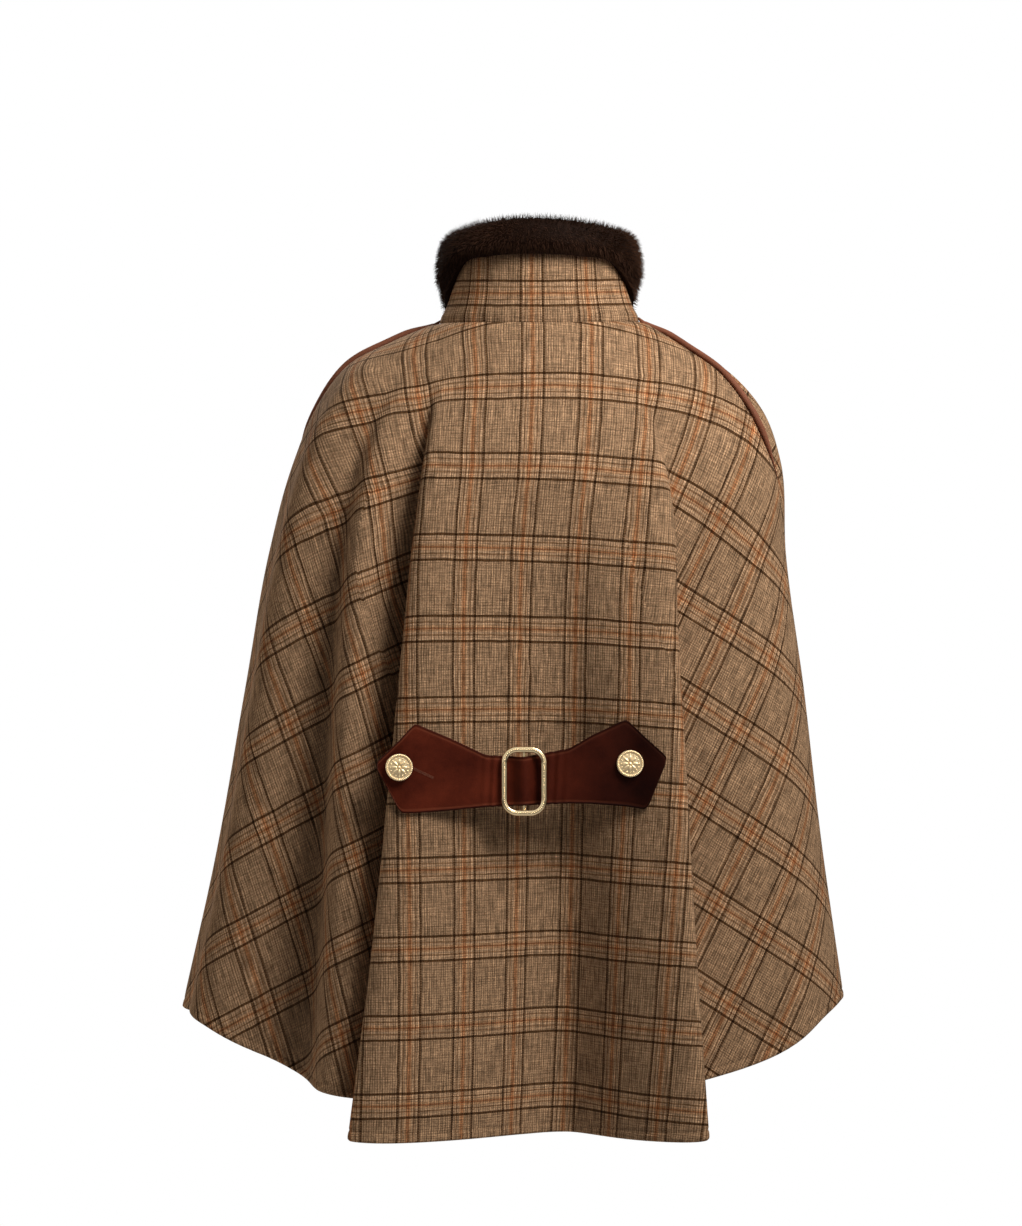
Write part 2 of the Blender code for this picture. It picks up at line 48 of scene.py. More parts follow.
# how the cape hangs, level by level: the same tables as the solids, in metres
levelNames = ("drop", "zBack", "zLeft", "zRight", "zFront", "yBack", "ySide", "yFront",
              "xLeft", "xRight", "point")
levels = np.array((
    (0.00, 0.010, 0.014, 0.016, -0.050, 0.062, -0.012, -0.088, 0.0905, 0.1050, 1.00),
    (0.07, -0.046, -0.005, -0.009, -0.091, 0.090, -0.008, -0.108, 0.1350, 0.1480, 0.95),
    (0.14, -0.095, -0.028, -0.035, -0.136, 0.113, -0.004, -0.125, 0.1770, 0.1900, 0.90),
    (0.21, -0.147, -0.069, -0.073, -0.184, 0.128, 0.000, -0.138, 0.2070, 0.2220, 0.90),
    (0.28, -0.200, -0.119, -0.119, -0.233, 0.137, 0.000, -0.147, 0.2280, 0.2380, 0.92),
    (0.40, -0.292, -0.204, -0.207, -0.320, 0.143, -0.004, -0.156, 0.2515, 0.2435, 1.00),
    (0.58, -0.431, -0.334, -0.336, -0.452, 0.147, -0.008, -0.167, 0.2750, 0.2610, 1.12),
    (0.79, -0.592, -0.486, -0.484, -0.598, 0.155, -0.012, -0.180, 0.3020, 0.2785, 1.25),
    (1.00, -0.750, -0.640, -0.633, -0.720, 0.165, -0.015, -0.193, 0.3360, 0.3000, 1.35),
))
hemRise = np.array((  # degrees from the middle, share risen on the left, on the right
    (0.0, 0.00, 0.00),
    (28.0, 0.02, 0.02),
    (36.0, 0.06, 0.07),
    (42.0, 0.18, 0.17),
    (46.0, 0.31, 0.27),
    (50.0, 0.38, 0.39),
    (54.0, 0.60, 0.51),
    (60.0, 0.87, 0.68),
    (66.0, 0.97, 0.83),
    (78.0, 0.97, 0.96),
    (90.0, 0.975, 1.00),
))
foldNames = ("angle", "turn", "top", "start", "growth", "out", "slide", "near", "far", "slideFar", "lift")
folds = (
    (38.2, 3.6, 1.0, 0.095, 0.84, -0.100, -0.108, 4.6, 11.0, 10.5, 0.12),  # left flute and its ridge
    (28.3, 3.6, 1.0, 0.10, 0.80, 0.038, 0.000, 11.0, 5.0, 5.0, 0.0),
    (-38.2, -3.8, 0.0, 0.09, 1.00, -0.090, -0.096, 4.6, 15.0, 10.5, 0.12),  # right flute and its ridge
    (-28.6, -3.8, 0.0, 0.12, 0.90, 0.034, 0.000, 7.0, 5.0, 5.0, 0.0),
    (45.2, 0.0, 0.0, 0.10, 0.92, 0.072, 0.000, 3.6, 3.6, 5.0, 0.0),  # left wing
    (51.5, 0.0, 0.0, 0.12, 0.60, -0.020, 0.000, 3.4, 5.0, 5.0, 0.12),
    (62.0, 0.0, 0.0, 0.12, 0.45, 0.029, 0.000, 10.0, 9.0, 5.0, 0.0),
    (-7.0, 0.0, 0.0, 0.20, 0.90, -0.080, 0.000, 18.0, 9.5, 5.0, 0.0),  # trough of the middle
    (128.0, 0.0, 0.0, 0.16, 1.15, -0.046, 0.000, 8.0, 9.0, 8.0, 0.12),  # fronts
    (152.0, 0.0, 0.0, 0.22, 1.15, 0.016, 0.000, 8.0, 8.0, 8.0, 0.12),
    (-126.0, 0.0, 0.0, 0.16, 1.15, -0.042, 0.000, 9.0, 8.0, 8.0, 0.12),
    (-150.0, 0.0, 0.0, 0.22, 1.15, 0.016, 0.000, 8.0, 8.0, 8.0, 0.12),
)
foldTurnFrom = 0.30
foldTopTo = 0.28
seamDegrees = np.array((  # drop, left, right
    (0.00, 92.0, -85.0),
    (0.06, 91.0, -79.5),
    (0.12, 91.5, -75.0),
    (0.22, 96.0, -71.5),
    (0.32, 101.0, -77.0),
    (0.50, 102.0, -92.0),
    (1.00, 99.0, -98.0),
))
angleStep = 0.002  # radians, for directions on the surface
dropStep = 0.0015
creaseAngle = math.radians(50)


def smooth(stops, values, at):
    # a smooth curve through the values at the stops
    at = np.clip(np.asarray(at, float), stops[0], stops[-1])
    slopes = np.gradient(values, stops, axis=0)
    i = np.clip(np.searchsorted(stops, at, side="right") - 1, 0, len(stops) - 2)
    extra = (1,) * (values.ndim - 1)
    width = stops[i + 1] - stops[i]
    t = ((at - stops[i]) / width).reshape(at.shape + extra)
    width = width.reshape(at.shape + extra)
    r = 1 - t
    ends = values[i] * r * r * (1 + 2 * t) + values[i + 1] * t * t * (3 - 2 * t)
    return ends + (slopes[i] * r - slopes[i + 1] * t) * width * t * r


def ease(share):
    share = np.clip(share, 0, 1)
    return share * share * (3 - 2 * share)


def unit(vectors):
    return vectors / np.linalg.norm(vectors, axis=-1, keepdims=True)


def bodyPoint(drop, angle):
    # the cape without its folds, by share of the way down and angle from the centre back
    size = {name: smooth(levels[:, 0], levels[:, k], drop) for k, name in enumerate(levelNames)}
    across, along = np.sin(angle), np.cos(angle)
    half = (size["xLeft"] + size["xRight"] + (size["xLeft"] - size["xRight"]) * across) / 2
    reach = np.where(along > 0, size["yBack"] - size["ySide"], size["ySide"] - size["yFront"])
    y = size["ySide"] + reach * np.sign(along) * np.abs(along) ** size["point"]
    top = (size["zLeft"] + size["zRight"] + (size["zLeft"] - size["zRight"]) * across) / 2
    low = np.where(along > 0, size["zBack"], size["zFront"])
    turned = np.degrees(np.arctan2(np.abs(across), np.abs(along)))
    risen = smooth(hemRise[:, 0], hemRise[:, 1:], turned)
    risen = np.where(across > 0, risen[..., 0], risen[..., 1])
    z = low + (top - low) * (across * across * (1 - drop) + risen * drop)
    return np.stack((half * across, y, z), axis=-1)


def capePoint(drop, angle):
    # the folds push the cloth out or in, draw it sideways and lift it
    drop, angle = np.broadcast_arrays(np.asarray(drop, float), np.asarray(angle, float))
    point = bodyPoint(drop, angle)
    run = bodyPoint(drop, angle + angleStep) - bodyPoint(drop, angle - angleStep)
    run[..., 2] = 0
    run = unit(run)
    facing = np.stack((-run[..., 1], run[..., 0], np.zeros_like(drop)), axis=-1)
    out, slide, lift = np.zeros_like(drop), np.zeros_like(drop), np.zeros_like(drop)
    for row in folds:
        fold = dict(zip(foldNames, row))
        side = math.copysign(1, fold["angle"])
        turned = fold["turn"] * (1 - drop) * ease(drop / foldTurnFrom)
        turned = turned - fold["top"] * (1 - ease(drop / foldTopTo))
        away = (np.degrees(angle) - fold["angle"]) * side + turned
        grown = np.clip((drop - fold["start"]) / (1 - fold["start"]), 0, 1) ** fold["growth"]
        deep = fold["out"] * grown * np.exp(-(away / np.where(away < 0, fold["near"], fold["far"])) ** 2)
        out, lift = out + deep, lift - fold["lift"] * deep
        drawn = np.exp(-(away / np.where(away < 0, fold["near"], fold["slideFar"])) ** 2)
        slide = slide + fold["slide"] * side * grown * drawn
    point = point + facing * out[..., None] + run * slide[..., None]
    point[..., 2] += lift
    return point


def capeNormal(drop, angle):
    drop, angle = np.broadcast_arrays(np.asarray(drop, float), np.asarray(angle, float))
    around = capePoint(drop, angle + angleStep) - capePoint(drop, angle - angleStep)
    above, below = np.clip(drop - dropStep, 0, 1), np.clip(drop + dropStep, 0, 1)
    return unit(np.cross(around, capePoint(below, angle) - capePoint(above, angle)))


def angleFor(length, drop, angle):
    # the angle that spans a length along the cloth
    run = capePoint(drop, angle + angleStep) - capePoint(drop, angle - angleStep)
    return length * 2 * angleStep / np.linalg.norm(run, axis=-1)


def seamAngle(side, drop):
    return np.radians(smooth(seamDegrees[:, 0], seamDegrees[:, 1 if side == "left" else 2], drop))


# node helpers


def addNode(tree, kind, values=None, **settings):
    made = tree.nodes.new(kind)
    for name, value in settings.items():
        setattr(made, name, value)
    for key, value in (values or {}).items():
        if isinstance(value, bpy.types.NodeSocket):
            tree.links.new(value, made.inputs[key])
        else:
            made.inputs[key].default_value = value
    return made


def calc(tree, operation, *values):
    return addNode(tree, "ShaderNodeMath", dict(enumerate(values)), operation=operation).outputs[0]


def vectorCalc(tree, operation, first, second):
    key = "Scale" if operation == "SCALE" else 1
    return addNode(tree, "ShaderNodeVectorMath", {0: first, key: second}, operation=operation).outputs[0]


def blendColour(tree, mode, factor, first, second):
    ends = {0: factor, 6: first, 7: second}
    return addNode(tree, "ShaderNodeMix", ends, data_type="RGBA", blend_type=mode).outputs[2]


def noise(tree, place, scale, detail, output="Fac", roughness=0.5):
    look = {"Vector": place, "Scale": scale, "Detail": detail, "Roughness": roughness}
    return addNode(tree, "ShaderNodeTexNoise", look).outputs[output]


def objectPlace(tree):
    return addNode(tree, "ShaderNodeTexCoord").outputs["Object"]


def addBump(tree, shader, strength, distance, height):
    look = {"Strength": strength, "Distance": distance, "Height": height}
    tree.links.new(addNode(tree, "ShaderNodeBump", look).outputs[0], shader.inputs["Normal"])


def mapRange(tree, value, low, high, start=0.0, end=1.0):
    ends = {"Value": value, "From Min": start, "From Max": end, "To Min": low, "To Max": high}
    return addNode(tree, "ShaderNodeMapRange", ends).outputs["Result"]


def newFinish(name):
    finish = bpy.data.materials.new(name)
    finish.use_nodes = True
    tree = finish.node_tree
    return finish, tree, tree.nodes["Principled BSDF"]


def colour(red, green, blue):
    return (red, green, blue, 1.0)


def ramp(tree, factor, bands, plain):
    made = addNode(tree, "ShaderNodeValToRGB", {"Fac": factor})
    made.color_ramp.interpolation = "CONSTANT"
    stops = []
    for start, end, tint in bands:
        stops += [(start, tint), (end, plain)]
    clean = {round(place, 5): tint for place, tint in stops}
    elements = made.color_ramp.elements
    elements[0].position, elements[0].color = 0.0, colour(*clean.pop(0.0, plain))
    elements.remove(elements[1])
    for place in sorted(clean):
        elements.new(place).color = colour(*clean[place])
    return made.outputs["Color"]


def nodeTree(name, sizes):
    tree = bpy.data.node_groups.new(name, "GeometryNodeTree")
    tree.interface.new_socket("Geometry", in_out="INPUT", socket_type="NodeSocketGeometry")
    tree.interface.new_socket("Geometry", in_out="OUTPUT", socket_type="NodeSocketGeometry")
    for size, kind in sizes.items():
        tree.interface.new_socket(size, in_out="INPUT", socket_type="NodeSocket" + kind)
    return tree, addNode(tree, "NodeGroupInput").outputs, addNode(tree, "NodeGroupOutput")


def endTree(tree, out, pieces, finish, rounded=True):
    made = addNode(tree, "GeometryNodeRealizeInstances", {"Geometry": pieces}).outputs[0]
    if rounded:
        made = addNode(tree, "GeometryNodeSetShadeSmooth", {"Geometry": made}).outputs[0]
    made = addNode(tree, "GeometryNodeSetMaterial", {"Geometry": made, "Material": finish}).outputs[0]
    tree.links.new(made, out.inputs[0])
    return tree


def growOn(host, tree, name, values):
    # runs the tree on its host and keeps the result as a plain mesh
    modifier = host.modifiers.new(tree.name, "NODES")
    modifier.node_group = tree
    sockets = {item.name: item.identifier for item in tree.interface.items_tree if item.in_out == "INPUT"}
    for size, value in values.items():
        modifier[sockets[size]] = value
    ready = host.evaluated_get(bpy.context.evaluated_depsgraph_get())
    mesh = bpy.data.meshes.new_from_object(ready)
    mesh.name = name
    host.modifiers.remove(modifier)
    bpy.data.objects.remove(host)
    made = bpy.data.objects.new(name, mesh)
    scene.collection.objects.link(made)
    return made


def randomValue(tree, seed, kind="FLOAT", low=0.0, high=1.0):
    first = 0 if kind == "FLOAT_VECTOR" else 2
    ends = {"Seed": seed, first: low, first + 1: high}
    return addNode(tree, "FunctionNodeRandomValue", ends, data_type=kind).outputs[first // 2]


def alongLine(tree, sizeOf):
    line = addNode(tree, "GeometryNodeMeshToCurve", {"Mesh": sizeOf["Geometry"]}).outputs[0]
    steps = {"Curve": line, "Length": sizeOf["Spacing"]}
    return addNode(tree, "GeometryNodeResampleCurve", steps, mode="LENGTH").outputs[0]


def ball(tree, segments, rings, radius):
    look = {"Segments": segments, "Rings": rings, "Radius": radius}
    return addNode(tree, "GeometryNodeMeshUVSphere", look).outputs[0]


def grain(tree, segments, rings, size):
    look = {"Geometry": ball(tree, segments, rings, 1.0), "Scale": size}
    return addNode(tree, "GeometryNodeTransform", look).outputs[0]


def layOn(tree, points, piece, **more):
    places = {"Points": points, "Instance": piece, **more}
    return addNode(tree, "GeometryNodeInstanceOnPoints", places).outputs[0]


# tweed: a ground of mixed yarn with an overcheck of dark, light, brown and rust yarns, on the flat cut
tweed = {
    "warpRepeat": 0.0540,
    "weftRepeat": 0.0752,
    "ground": (0.375, 0.230, 0.131),
    "plain": (0.90, 0.90, 0.90),
    "light": (1.08, 1.09, 1.11),
    "peach": (1.06, 0.96, 0.87),
    "dark": (0.17, 0.125, 0.085),
    "ink": (0.18, 0.130, 0.080),
    "brown": (0.58, 0.51, 0.45),
    "rust": (0.80, 0.545, 0.40),
    "russet": (0.66, 0.44, 0.33),
    "yarnPitch": 0.0023,
    "wobble": 0.0012,
    "fleck": (0.20, 0.085, 0.040),
    "fleckAbove": 0.66,
    "fleckShare": 0.55,
}
warpYarns = (  # from, to in mm, yarn
    (0.0, 2.3, "dark"), (2.3, 4.9, "light"), (4.9, 6.4, "brown"), (6.4, 8.3, "light"),
    (8.3, 9.8, "peach"), (9.8, 12.9, "rust"), (12.9, 14.4, "peach"), (14.4, 16.3, "light"),
    (16.3, 17.8, "brown"), (17.8, 20.4, "light"), (20.4, 22.7, "dark"),
)
weftYarns = (
    (0.0, 2.1, "ink"), (2.1, 6.1, "light"), (6.1, 7.5, "brown"), (7.5, 9.8, "light"),
    (9.8, 11.9, "peach"), (11.9, 13.7, "russet"), (13.7, 15.8, "peach"), (15.8, 18.1, "light"),
    (18.1, 19.5, "brown"), (19.5, 23.5, "light"), (23.5, 25.6, "ink"),
)


def makeTweed(name):
    finish, tree, shader = newFinish(name)
    cut = addNode(tree, "ShaderNodeUVMap", uv_map="cut").outputs["UV"]
    shift = vectorCalc(tree, "SUBTRACT", noise(tree, cut, 60.0, 2.0, "Color"), (0.5, 0.5, 0.5))
    laid = vectorCalc(tree, "ADD", cut, vectorCalc(tree, "SCALE", shift, tweed["wobble"]))
    place = addNode(tree, "ShaderNodeSeparateXYZ", {0: laid})
    ways = ((place.outputs[0], tweed["warpRepeat"], warpYarns),
            (place.outputs[1], tweed["weftRepeat"], weftYarns))
    tints, threads = [], []
    for position, repeat, yarns in ways:
        share = calc(tree, "FRACT", calc(tree, "DIVIDE", position, repeat))
        bands = [(start / 1000 / repeat, end / 1000 / repeat, tweed[yarn]) for start, end, yarn in yarns]
        tints.append(ramp(tree, share, bands, tweed["plain"]))
        wave = calc(tree, "SINE", calc(tree, "MULTIPLY", position, 2 * math.pi / tweed["yarnPitch"]))
        threads.append(calc(tree, "MULTIPLY_ADD", wave, 0.5, 0.5))
    warpHold = mapRange(tree, threads[1], 0.66, 1.0)  # a warp line is broken by the wefts that cross it
    weftHold = mapRange(tree, threads[0], 0.84, 1.0)
    mixed = noise(tree, laid, 620.0, 3.0, roughness=0.7)
    pulled = [addNode(tree, "ShaderNodeMapping", {"Vector": laid, "Scale": pull}).outputs[0]
              for pull in ((640.0, 45.0, 1.0), (55.0, 600.0, 1.0))]
    slubs, picks = [noise(tree, stretched, 1.0, 2.0) for stretched in pulled]
    level = mapRange(tree, mixed, 0.62, 1.38, 0.3, 0.7)
    for value, low, high, begin, full in (
            (slubs, 0.52, 1.48, 0.3, 0.7), (picks, 0.70, 1.30, 0.3, 0.7),
            (noise(tree, laid, 14.0, 2.0), 0.92, 1.08, 0.0, 1.0),
            (threads[0], 0.70, 1.30, 0.0, 1.0), (threads[1], 0.88, 1.12, 0.0, 1.0)):
        level = calc(tree, "MULTIPLY", level, mapRange(tree, value, low, high, begin, full))
    yarn = vectorCalc(tree, "SCALE", tweed["ground"], level)
    flecks = calc(tree, "GREATER_THAN", noise(tree, laid, 480.0, 1.0), tweed["fleckAbove"])
    flecks = calc(tree, "MULTIPLY", flecks, tweed["fleckShare"])
    yarn = blendColour(tree, "MIX", flecks, yarn, colour(*tweed["fleck"]))
    yarn = blendColour(tree, "MULTIPLY", warpHold, yarn, tints[0])
    yarn = blendColour(tree, "MULTIPLY", weftHold, yarn, tints[1])
    height = calc(tree, "MULTIPLY_ADD", threads[0], 0.5, calc(tree, "MULTIPLY", threads[1], 0.5))
    height = calc(tree, "MULTIPLY_ADD", mixed, 1.2, height)
    addBump(tree, shader, 0.55, 0.0005, height)
    tree.links.new(yarn, shader.inputs["Base Color"])
    shader.inputs["Roughness"].default_value = 0.93
    shader.inputs["Specular IOR Level"].default_value = 0.03
    shader.inputs["Sheen Weight"].default_value = 0.05
    shader.inputs["Sheen Roughness"].default_value = 0.5
    shader.inputs["Sheen Tint"].default_value = colour(0.95, 0.80, 0.62)
    return finish


tweedFinish = makeTweed("brown_check_tweed")
print("tweed woven")

# mesh helpers


def makeMesh(name, points, faces, finish, cut=None):
    mesh = bpy.data.meshes.new(name)
    mesh.from_pydata(np.asarray(points, float).reshape(-1, 3).tolist(), [], faces)
    if cut is not None:
        corners = np.empty(len(mesh.loops), np.int32)
        mesh.loops.foreach_get("vertex_index", corners)
        layer = mesh.uv_layers.new(name="cut")
        layer.uv.foreach_set("vector", np.asarray(cut, np.float32).reshape(-1, 2)[corners].ravel())
    mesh.shade_smooth()
    mesh.set_sharp_from_angle(angle=creaseAngle)
    mesh.materials.append(finish)
    made = bpy.data.objects.new(name, mesh)
    scene.collection.objects.link(made)
    return made


def gridFaces(rows, columns, first=0, flip=False):
    corner = first + np.arange(rows * columns).reshape(rows, columns)
    a, b, c, d = corner[:-1, :-1], corner[:-1, 1:], corner[1:, 1:], corner[1:, :-1]
    ring = (a, d, c, b) if flip else (a, b, c, d)
    return np.stack(ring, axis=-1).reshape(-1, 4).tolist()


def rimOrder(rows, columns):
    corner = np.arange(rows * columns).reshape(rows, columns)
    return np.concatenate((corner[0], corner[1:, -1], corner[-1, -2::-1], corner[-2:0:-1, 0]))


def sheetMesh(name, outer, inner, finish, cut=None, roundness=0.5):
    # a wall with a rounded edge all the way round
    rows, columns = outer.shape[:2]
    size = rows * columns
    rim = rimOrder(rows, columns)
    nearer = np.clip(np.stack(np.divmod(rim, columns), axis=1), 1, (rows - 2, columns - 2))
    flatOuter, flatInner = outer.reshape(-1, 3), inner.reshape(-1, 3)
    outward = unit(flatOuter[rim] - flatOuter[nearer[:, 0] * columns + nearer[:, 1]])
    thick = np.linalg.norm(flatOuter[rim] - flatInner[rim], axis=1, keepdims=True)
    middle = (flatOuter[rim] + flatInner[rim]) / 2 + outward * thick * roundness
    faces = gridFaces(rows, columns) + gridFaces(rows, columns, size, flip=True)
    count = len(rim)
    for here in range(count):
        there = (here + 1) % count
        a, b = int(rim[here]), int(rim[there])
        faces.append((b, a, 2 * size + here, 2 * size + there))
        faces.append((2 * size + there, 2 * size + here, a + size, b + size))
    points = np.concatenate((flatOuter, flatInner, middle))
    if cut is not None:
        flat = cut.reshape(-1, 2)
        cut = np.concatenate((flat, flat, flat[rim]))
    return makeMesh(name, points, faces, finish, cut)


def tube(path, radius, sides):
    # rings of points round a path
    tangent = unit(np.vstack((path[1:], path[-1:])) - np.vstack((path[:1], path[:-1])))
    up = np.array((0.0, 0.0, 1.0)) if abs(tangent[:, 2]).mean() < 0.8 else np.array((0.0, 1.0, 0.0))
    side = unit(np.cross(tangent, up))
    other = np.cross(side, tangent)
    turn = np.linspace(0, 2 * math.pi, sides, endpoint=False)
    ring = np.cos(turn)[None, :, None] * side[:, None] + np.sin(turn)[None, :, None] * other[:, None]
    return path[:, None] + ring * np.asarray(radius).reshape(-1, 1, 1)


def tubeFaces(count, sides, closed=False):
    faces = []
    for i in range(count if closed else count - 1):
        here, there = i * sides, ((i + 1) % count) * sides
        for j in range(sides):
            k = (j + 1) % sides
            faces.append((here + j, there + j, there + k, here + k))
    if not closed:
        faces.append(tuple(range(sides)))
        faces.append(tuple((count - 1) * sides + j for j in range(sides - 1, -1, -1)))
    return faces


def lineHost(name, lines, closed=False):
    # loose edges that a tree turns into curves
    points, edges, start = [], [], 0
    for line in lines:
        points += np.asarray(line, float).tolist()
        edges += [(start + i, start + i + 1) for i in range(len(line) - 1)]
        if closed:
            edges.append((start + len(line) - 1, start))
        start += len(line)
    mesh = bpy.data.meshes.new(name)
    mesh.from_pydata(points, edges, [])
    host = bpy.data.objects.new(name, mesh)
    scene.collection.objects.link(host)
    return host


def joinMeshes(name, pieces):
    # several objects as one mesh, with the finish of the first
    points, faces, start = [], [], 0
    for piece in pieces:
        mesh = piece.data
        points += [tuple(v.co) for v in mesh.vertices]
        faces += [tuple(start + i for i in p.vertices) for p in mesh.polygons]
        start += len(mesh.vertices)
    finish = pieces[0].data.materials[0]
    for piece in pieces:
        bpy.data.objects.remove(piece)
    return makeMesh(name, points, faces, finish)


def dress(piece, slotName, *nodes):
    if nodes:
        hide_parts(*nodes)
    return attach(piece, "root")


# laying a hanging panel out flat: fanned out from the neck, then evened out like a net of springs


def rotate(points, turn):
    c, s = math.cos(turn), math.sin(turn)
    return points @ np.array(((c, s), (-s, c)))


def fanOut(points, start):
    # each column straight, turned by as much as the hem is longer than the neck
    length = np.cumsum(np.linalg.norm(np.diff(points, axis=0, prepend=points[:1]), axis=-1), axis=0)
    neck, hem = [np.linalg.norm(np.diff(points[row], axis=0), axis=-1) for row in (0, -1)]
    turn = np.concatenate(([0], np.cumsum((hem - neck) * 2 / (length[-1, 1:] + length[-1, :-1]))))
    turn = turn - turn[start]
    middle = (turn[1:] + turn[:-1]) / 2
    base = np.zeros((len(turn), 2))
    base[1:] = np.cumsum(neck[:, None] * np.stack((np.cos(middle), np.sin(middle)), axis=-1), axis=0)
    return base - base[start] + length[..., None] * np.stack((np.sin(turn), -np.cos(turn)), axis=-1)


def netLengths(points, step):
    # true lengths between the knots of a net that takes every so many points, and across its meshes
    rows, columns = (points.shape[0] - 1) // step, (points.shape[1] - 1) // step
    across, down = np.diff(points, axis=1), np.diff(points, axis=0)
    width = np.linalg.norm(across, axis=-1)[::step].reshape(rows + 1, columns, step).sum(-1)
    height = np.linalg.norm(down, axis=-1)[:, ::step].reshape(rows, step, columns + 1).sum(1)
    lean = (unit(across)[:-1] * unit(down)[:, :-1]).sum(-1).reshape(rows, step, columns, step).mean((1, 3))
    a, b = (width[1:] + width[:-1]) / 2, (height[:, 1:] + height[:, :-1]) / 2
    across, lean = a * a + b * b, 2 * a * b * lean
    return width, height, np.sqrt(across + lean), np.sqrt(across - lean)


def evenOut(flat, lengths, rounds):
    every, first, last = slice(None), slice(None, -1), slice(1, None)
    pairs = (((every, first), (every, last), 1.0), ((first, every), (last, every), 1.0),
             ((first, first), (last, last), 0.5), ((first, last), (last, first), 0.5))
    for _ in range(rounds):
        push, total = np.zeros_like(flat), np.zeros(flat.shape[:2])
        for (a, b, weight), rest in zip(pairs, lengths):
            span = flat[b] - flat[a]
            length = np.maximum(np.linalg.norm(span, axis=-1), 1e-9)
            pull = span * (0.5 * weight * (length - rest) / length)[..., None]
            push[a] += pull
            push[b] -= pull
            total[a] += weight
            total[b] += weight
        flat = flat + push / total[..., None] * panel["netPush"]
    return flat


def layFlat(points, start):
    step = panel["flatSteps"][0]
    flat = fanOut(points, start)[::step, ::step]
    for finer in panel["flatSteps"]:
        while step > finer:
            for axis in (0, 1):
                count = flat.shape[axis]
                between = np.linspace(0, count - 1, 2 * count - 1)
                flat = np.moveaxis(smooth(np.arange(count), np.moveaxis(flat, axis, 0), between), 0, axis)
            step //= 2
        flat = evenOut(flat, netLengths(points, step), panel["flatRounds"])
    return flat


# the three cloth panels
panel = {
    "wall": 0.0024,
    "seamGap": 0.0003,
    "layGap": 0.0005,
    "overlap": 0.028,
    "underFrom": 4.2,
    "underFull": 2.2,
    "gatherDrop": 0.30,
    "gatherWeight": 0.8,
    "fineSteps": 2400,
    "rows": 150,
    "backColumns": 200,
    "frontColumns": 110,
    "hemTurn": 0.0098,
    "hemGroove": 0.0006,
    "hemRoll": 0.0003,
    "neckGroove": 0.0021,
    "neckTurn": 0.014,
    "flatRows": 41,
    "flatColumns": 121,
    "flatSteps": (4, 2, 1),
    "flatRounds": 400,
    "netPush": 1.3,
    "frontBlurs": 120,
}
hemRows = np.array((1.6, 1.3, 1.12, 1.0, 0.88, 0.7, 0.4, 0.15, 0.0))  # up from the edge, in hem widths
hemShape = np.array((0.0, 0.0, -0.6, -1.0, -0.5, 0.5, 1.0, 0.6, 0.0))  # in at its top, out below


def clothDrops():
    low = 1 - hemRows[0] * panel["hemTurn"]
    plain = np.linspace(0, low, panel["rows"] - len(hemRows), endpoint=False)
    return np.concatenate((plain, 1 - hemRows * panel["hemTurn"]))


def panelAngles(drops, first, last, count):
    fine = np.linspace(first[-1], last[-1], panel["fineSteps"])
    step = np.diff(capePoint(1.0, fine)[:, :2], axis=0)
    length = np.hypot(step[:, 0], step[:, 1])
    heading = np.unwrap(np.arctan2(step[:, 1], step[:, 0]))
    turn = np.abs(np.diff(heading, prepend=heading[0]))
    weight = length / length.sum() + panel["gatherWeight"] * turn / turn.sum()
    run = np.concatenate(([0], np.cumsum(weight)))
    atHem = np.interp(np.linspace(0, run[-1], count), run, fine)
    atHem = (atHem - atHem[0]) / (atHem[-1] - atHem[0])
    gathered = ease(drops / panel["gatherDrop"])[:, None]
    share = np.linspace(0, 1, count) * (1 - gathered) + atHem * gathered
    return first[:, None] + (last - first)[:, None] * share


def backGrid(drops, count):
    left, right = seamAngle("left", drops), seamAngle("right", drops)
    first = right + angleFor(panel["seamGap"] / 2, drops, right)
    last = left - angleFor(panel["seamGap"] / 2, drops, left)
    angles = panelAngles(drops, first, last, count)
    return angles, capePoint(drops[:, None], angles), capeNormal(drops[:, None], angles)


def frontGrid(side, drops, count):
    sign = 1 if side == "left" else -1
    seam = seamAngle(side, drops)
    seam = seam + sign * angleFor(panel["seamGap"] / 2, drops, seam)
    lap = angleFor(panel["overlap"], drops, np.full_like(drops, math.pi * sign))
    edge = sign * (math.pi + lap)
    first, last = (seam, edge) if side == "left" else (edge, seam)
    angles = panelAngles(drops, first, last, count)
    points, normals = capePoint(drops[:, None], angles), capeNormal(drops[:, None], angles)
    if side == "left":
        short = (edge[:, None] - angles) / lap[:, None]
        under = ease((panel["underFrom"] - short) / (panel["underFrom"] - panel["underFull"]))
        points = points - normals * (under * (panel["wall"] + panel["layGap"]))[..., None]
    return angles, points, normals


def blurred(field, rounds):
    for _ in range(rounds):
        for axis in (0, 1):
            field = np.moveaxis(field, axis, 0)
            before = np.concatenate((2 * field[:1] - field[1:2], field[:-1]))
            after = np.concatenate((field[1:], 2 * field[-1:] - field[-2:-1]))
            field = np.moveaxis((before + 2 * field + after) / 4, 0, axis)
    return field


def layOut(grid, startShare, blurs=0):
    # the flat cut on a coarse net, then read off at every point of the fine one
    drops = np.linspace(0, 1, panel["flatRows"])
    shares = np.linspace(0, 1, panel["flatColumns"])
    angles, points, _ = grid(drops, panel["flatColumns"])
    start = int(round(startShare * (panel["flatColumns"] - 1)))
    flat = layFlat(points, start)
    fan = fanOut(points, start)
    flat = fan + blurred(flat - fan, blurs)  # the net's own creases come out
    grain = flat[-1, start] - flat[0, start]
    flat = rotate(flat - flat[0, start], -math.atan2(grain[0], -grain[1]))
    return drops, shares, angles, flat, points[:, start, 2]


def readOff(drops, shares, flat, fineDrops, count):
    rows = smooth(drops, flat, fineDrops)
    return smooth(shares, rows.transpose(1, 0, 2), np.linspace(0, 1, count)).transpose(1, 0, 2)


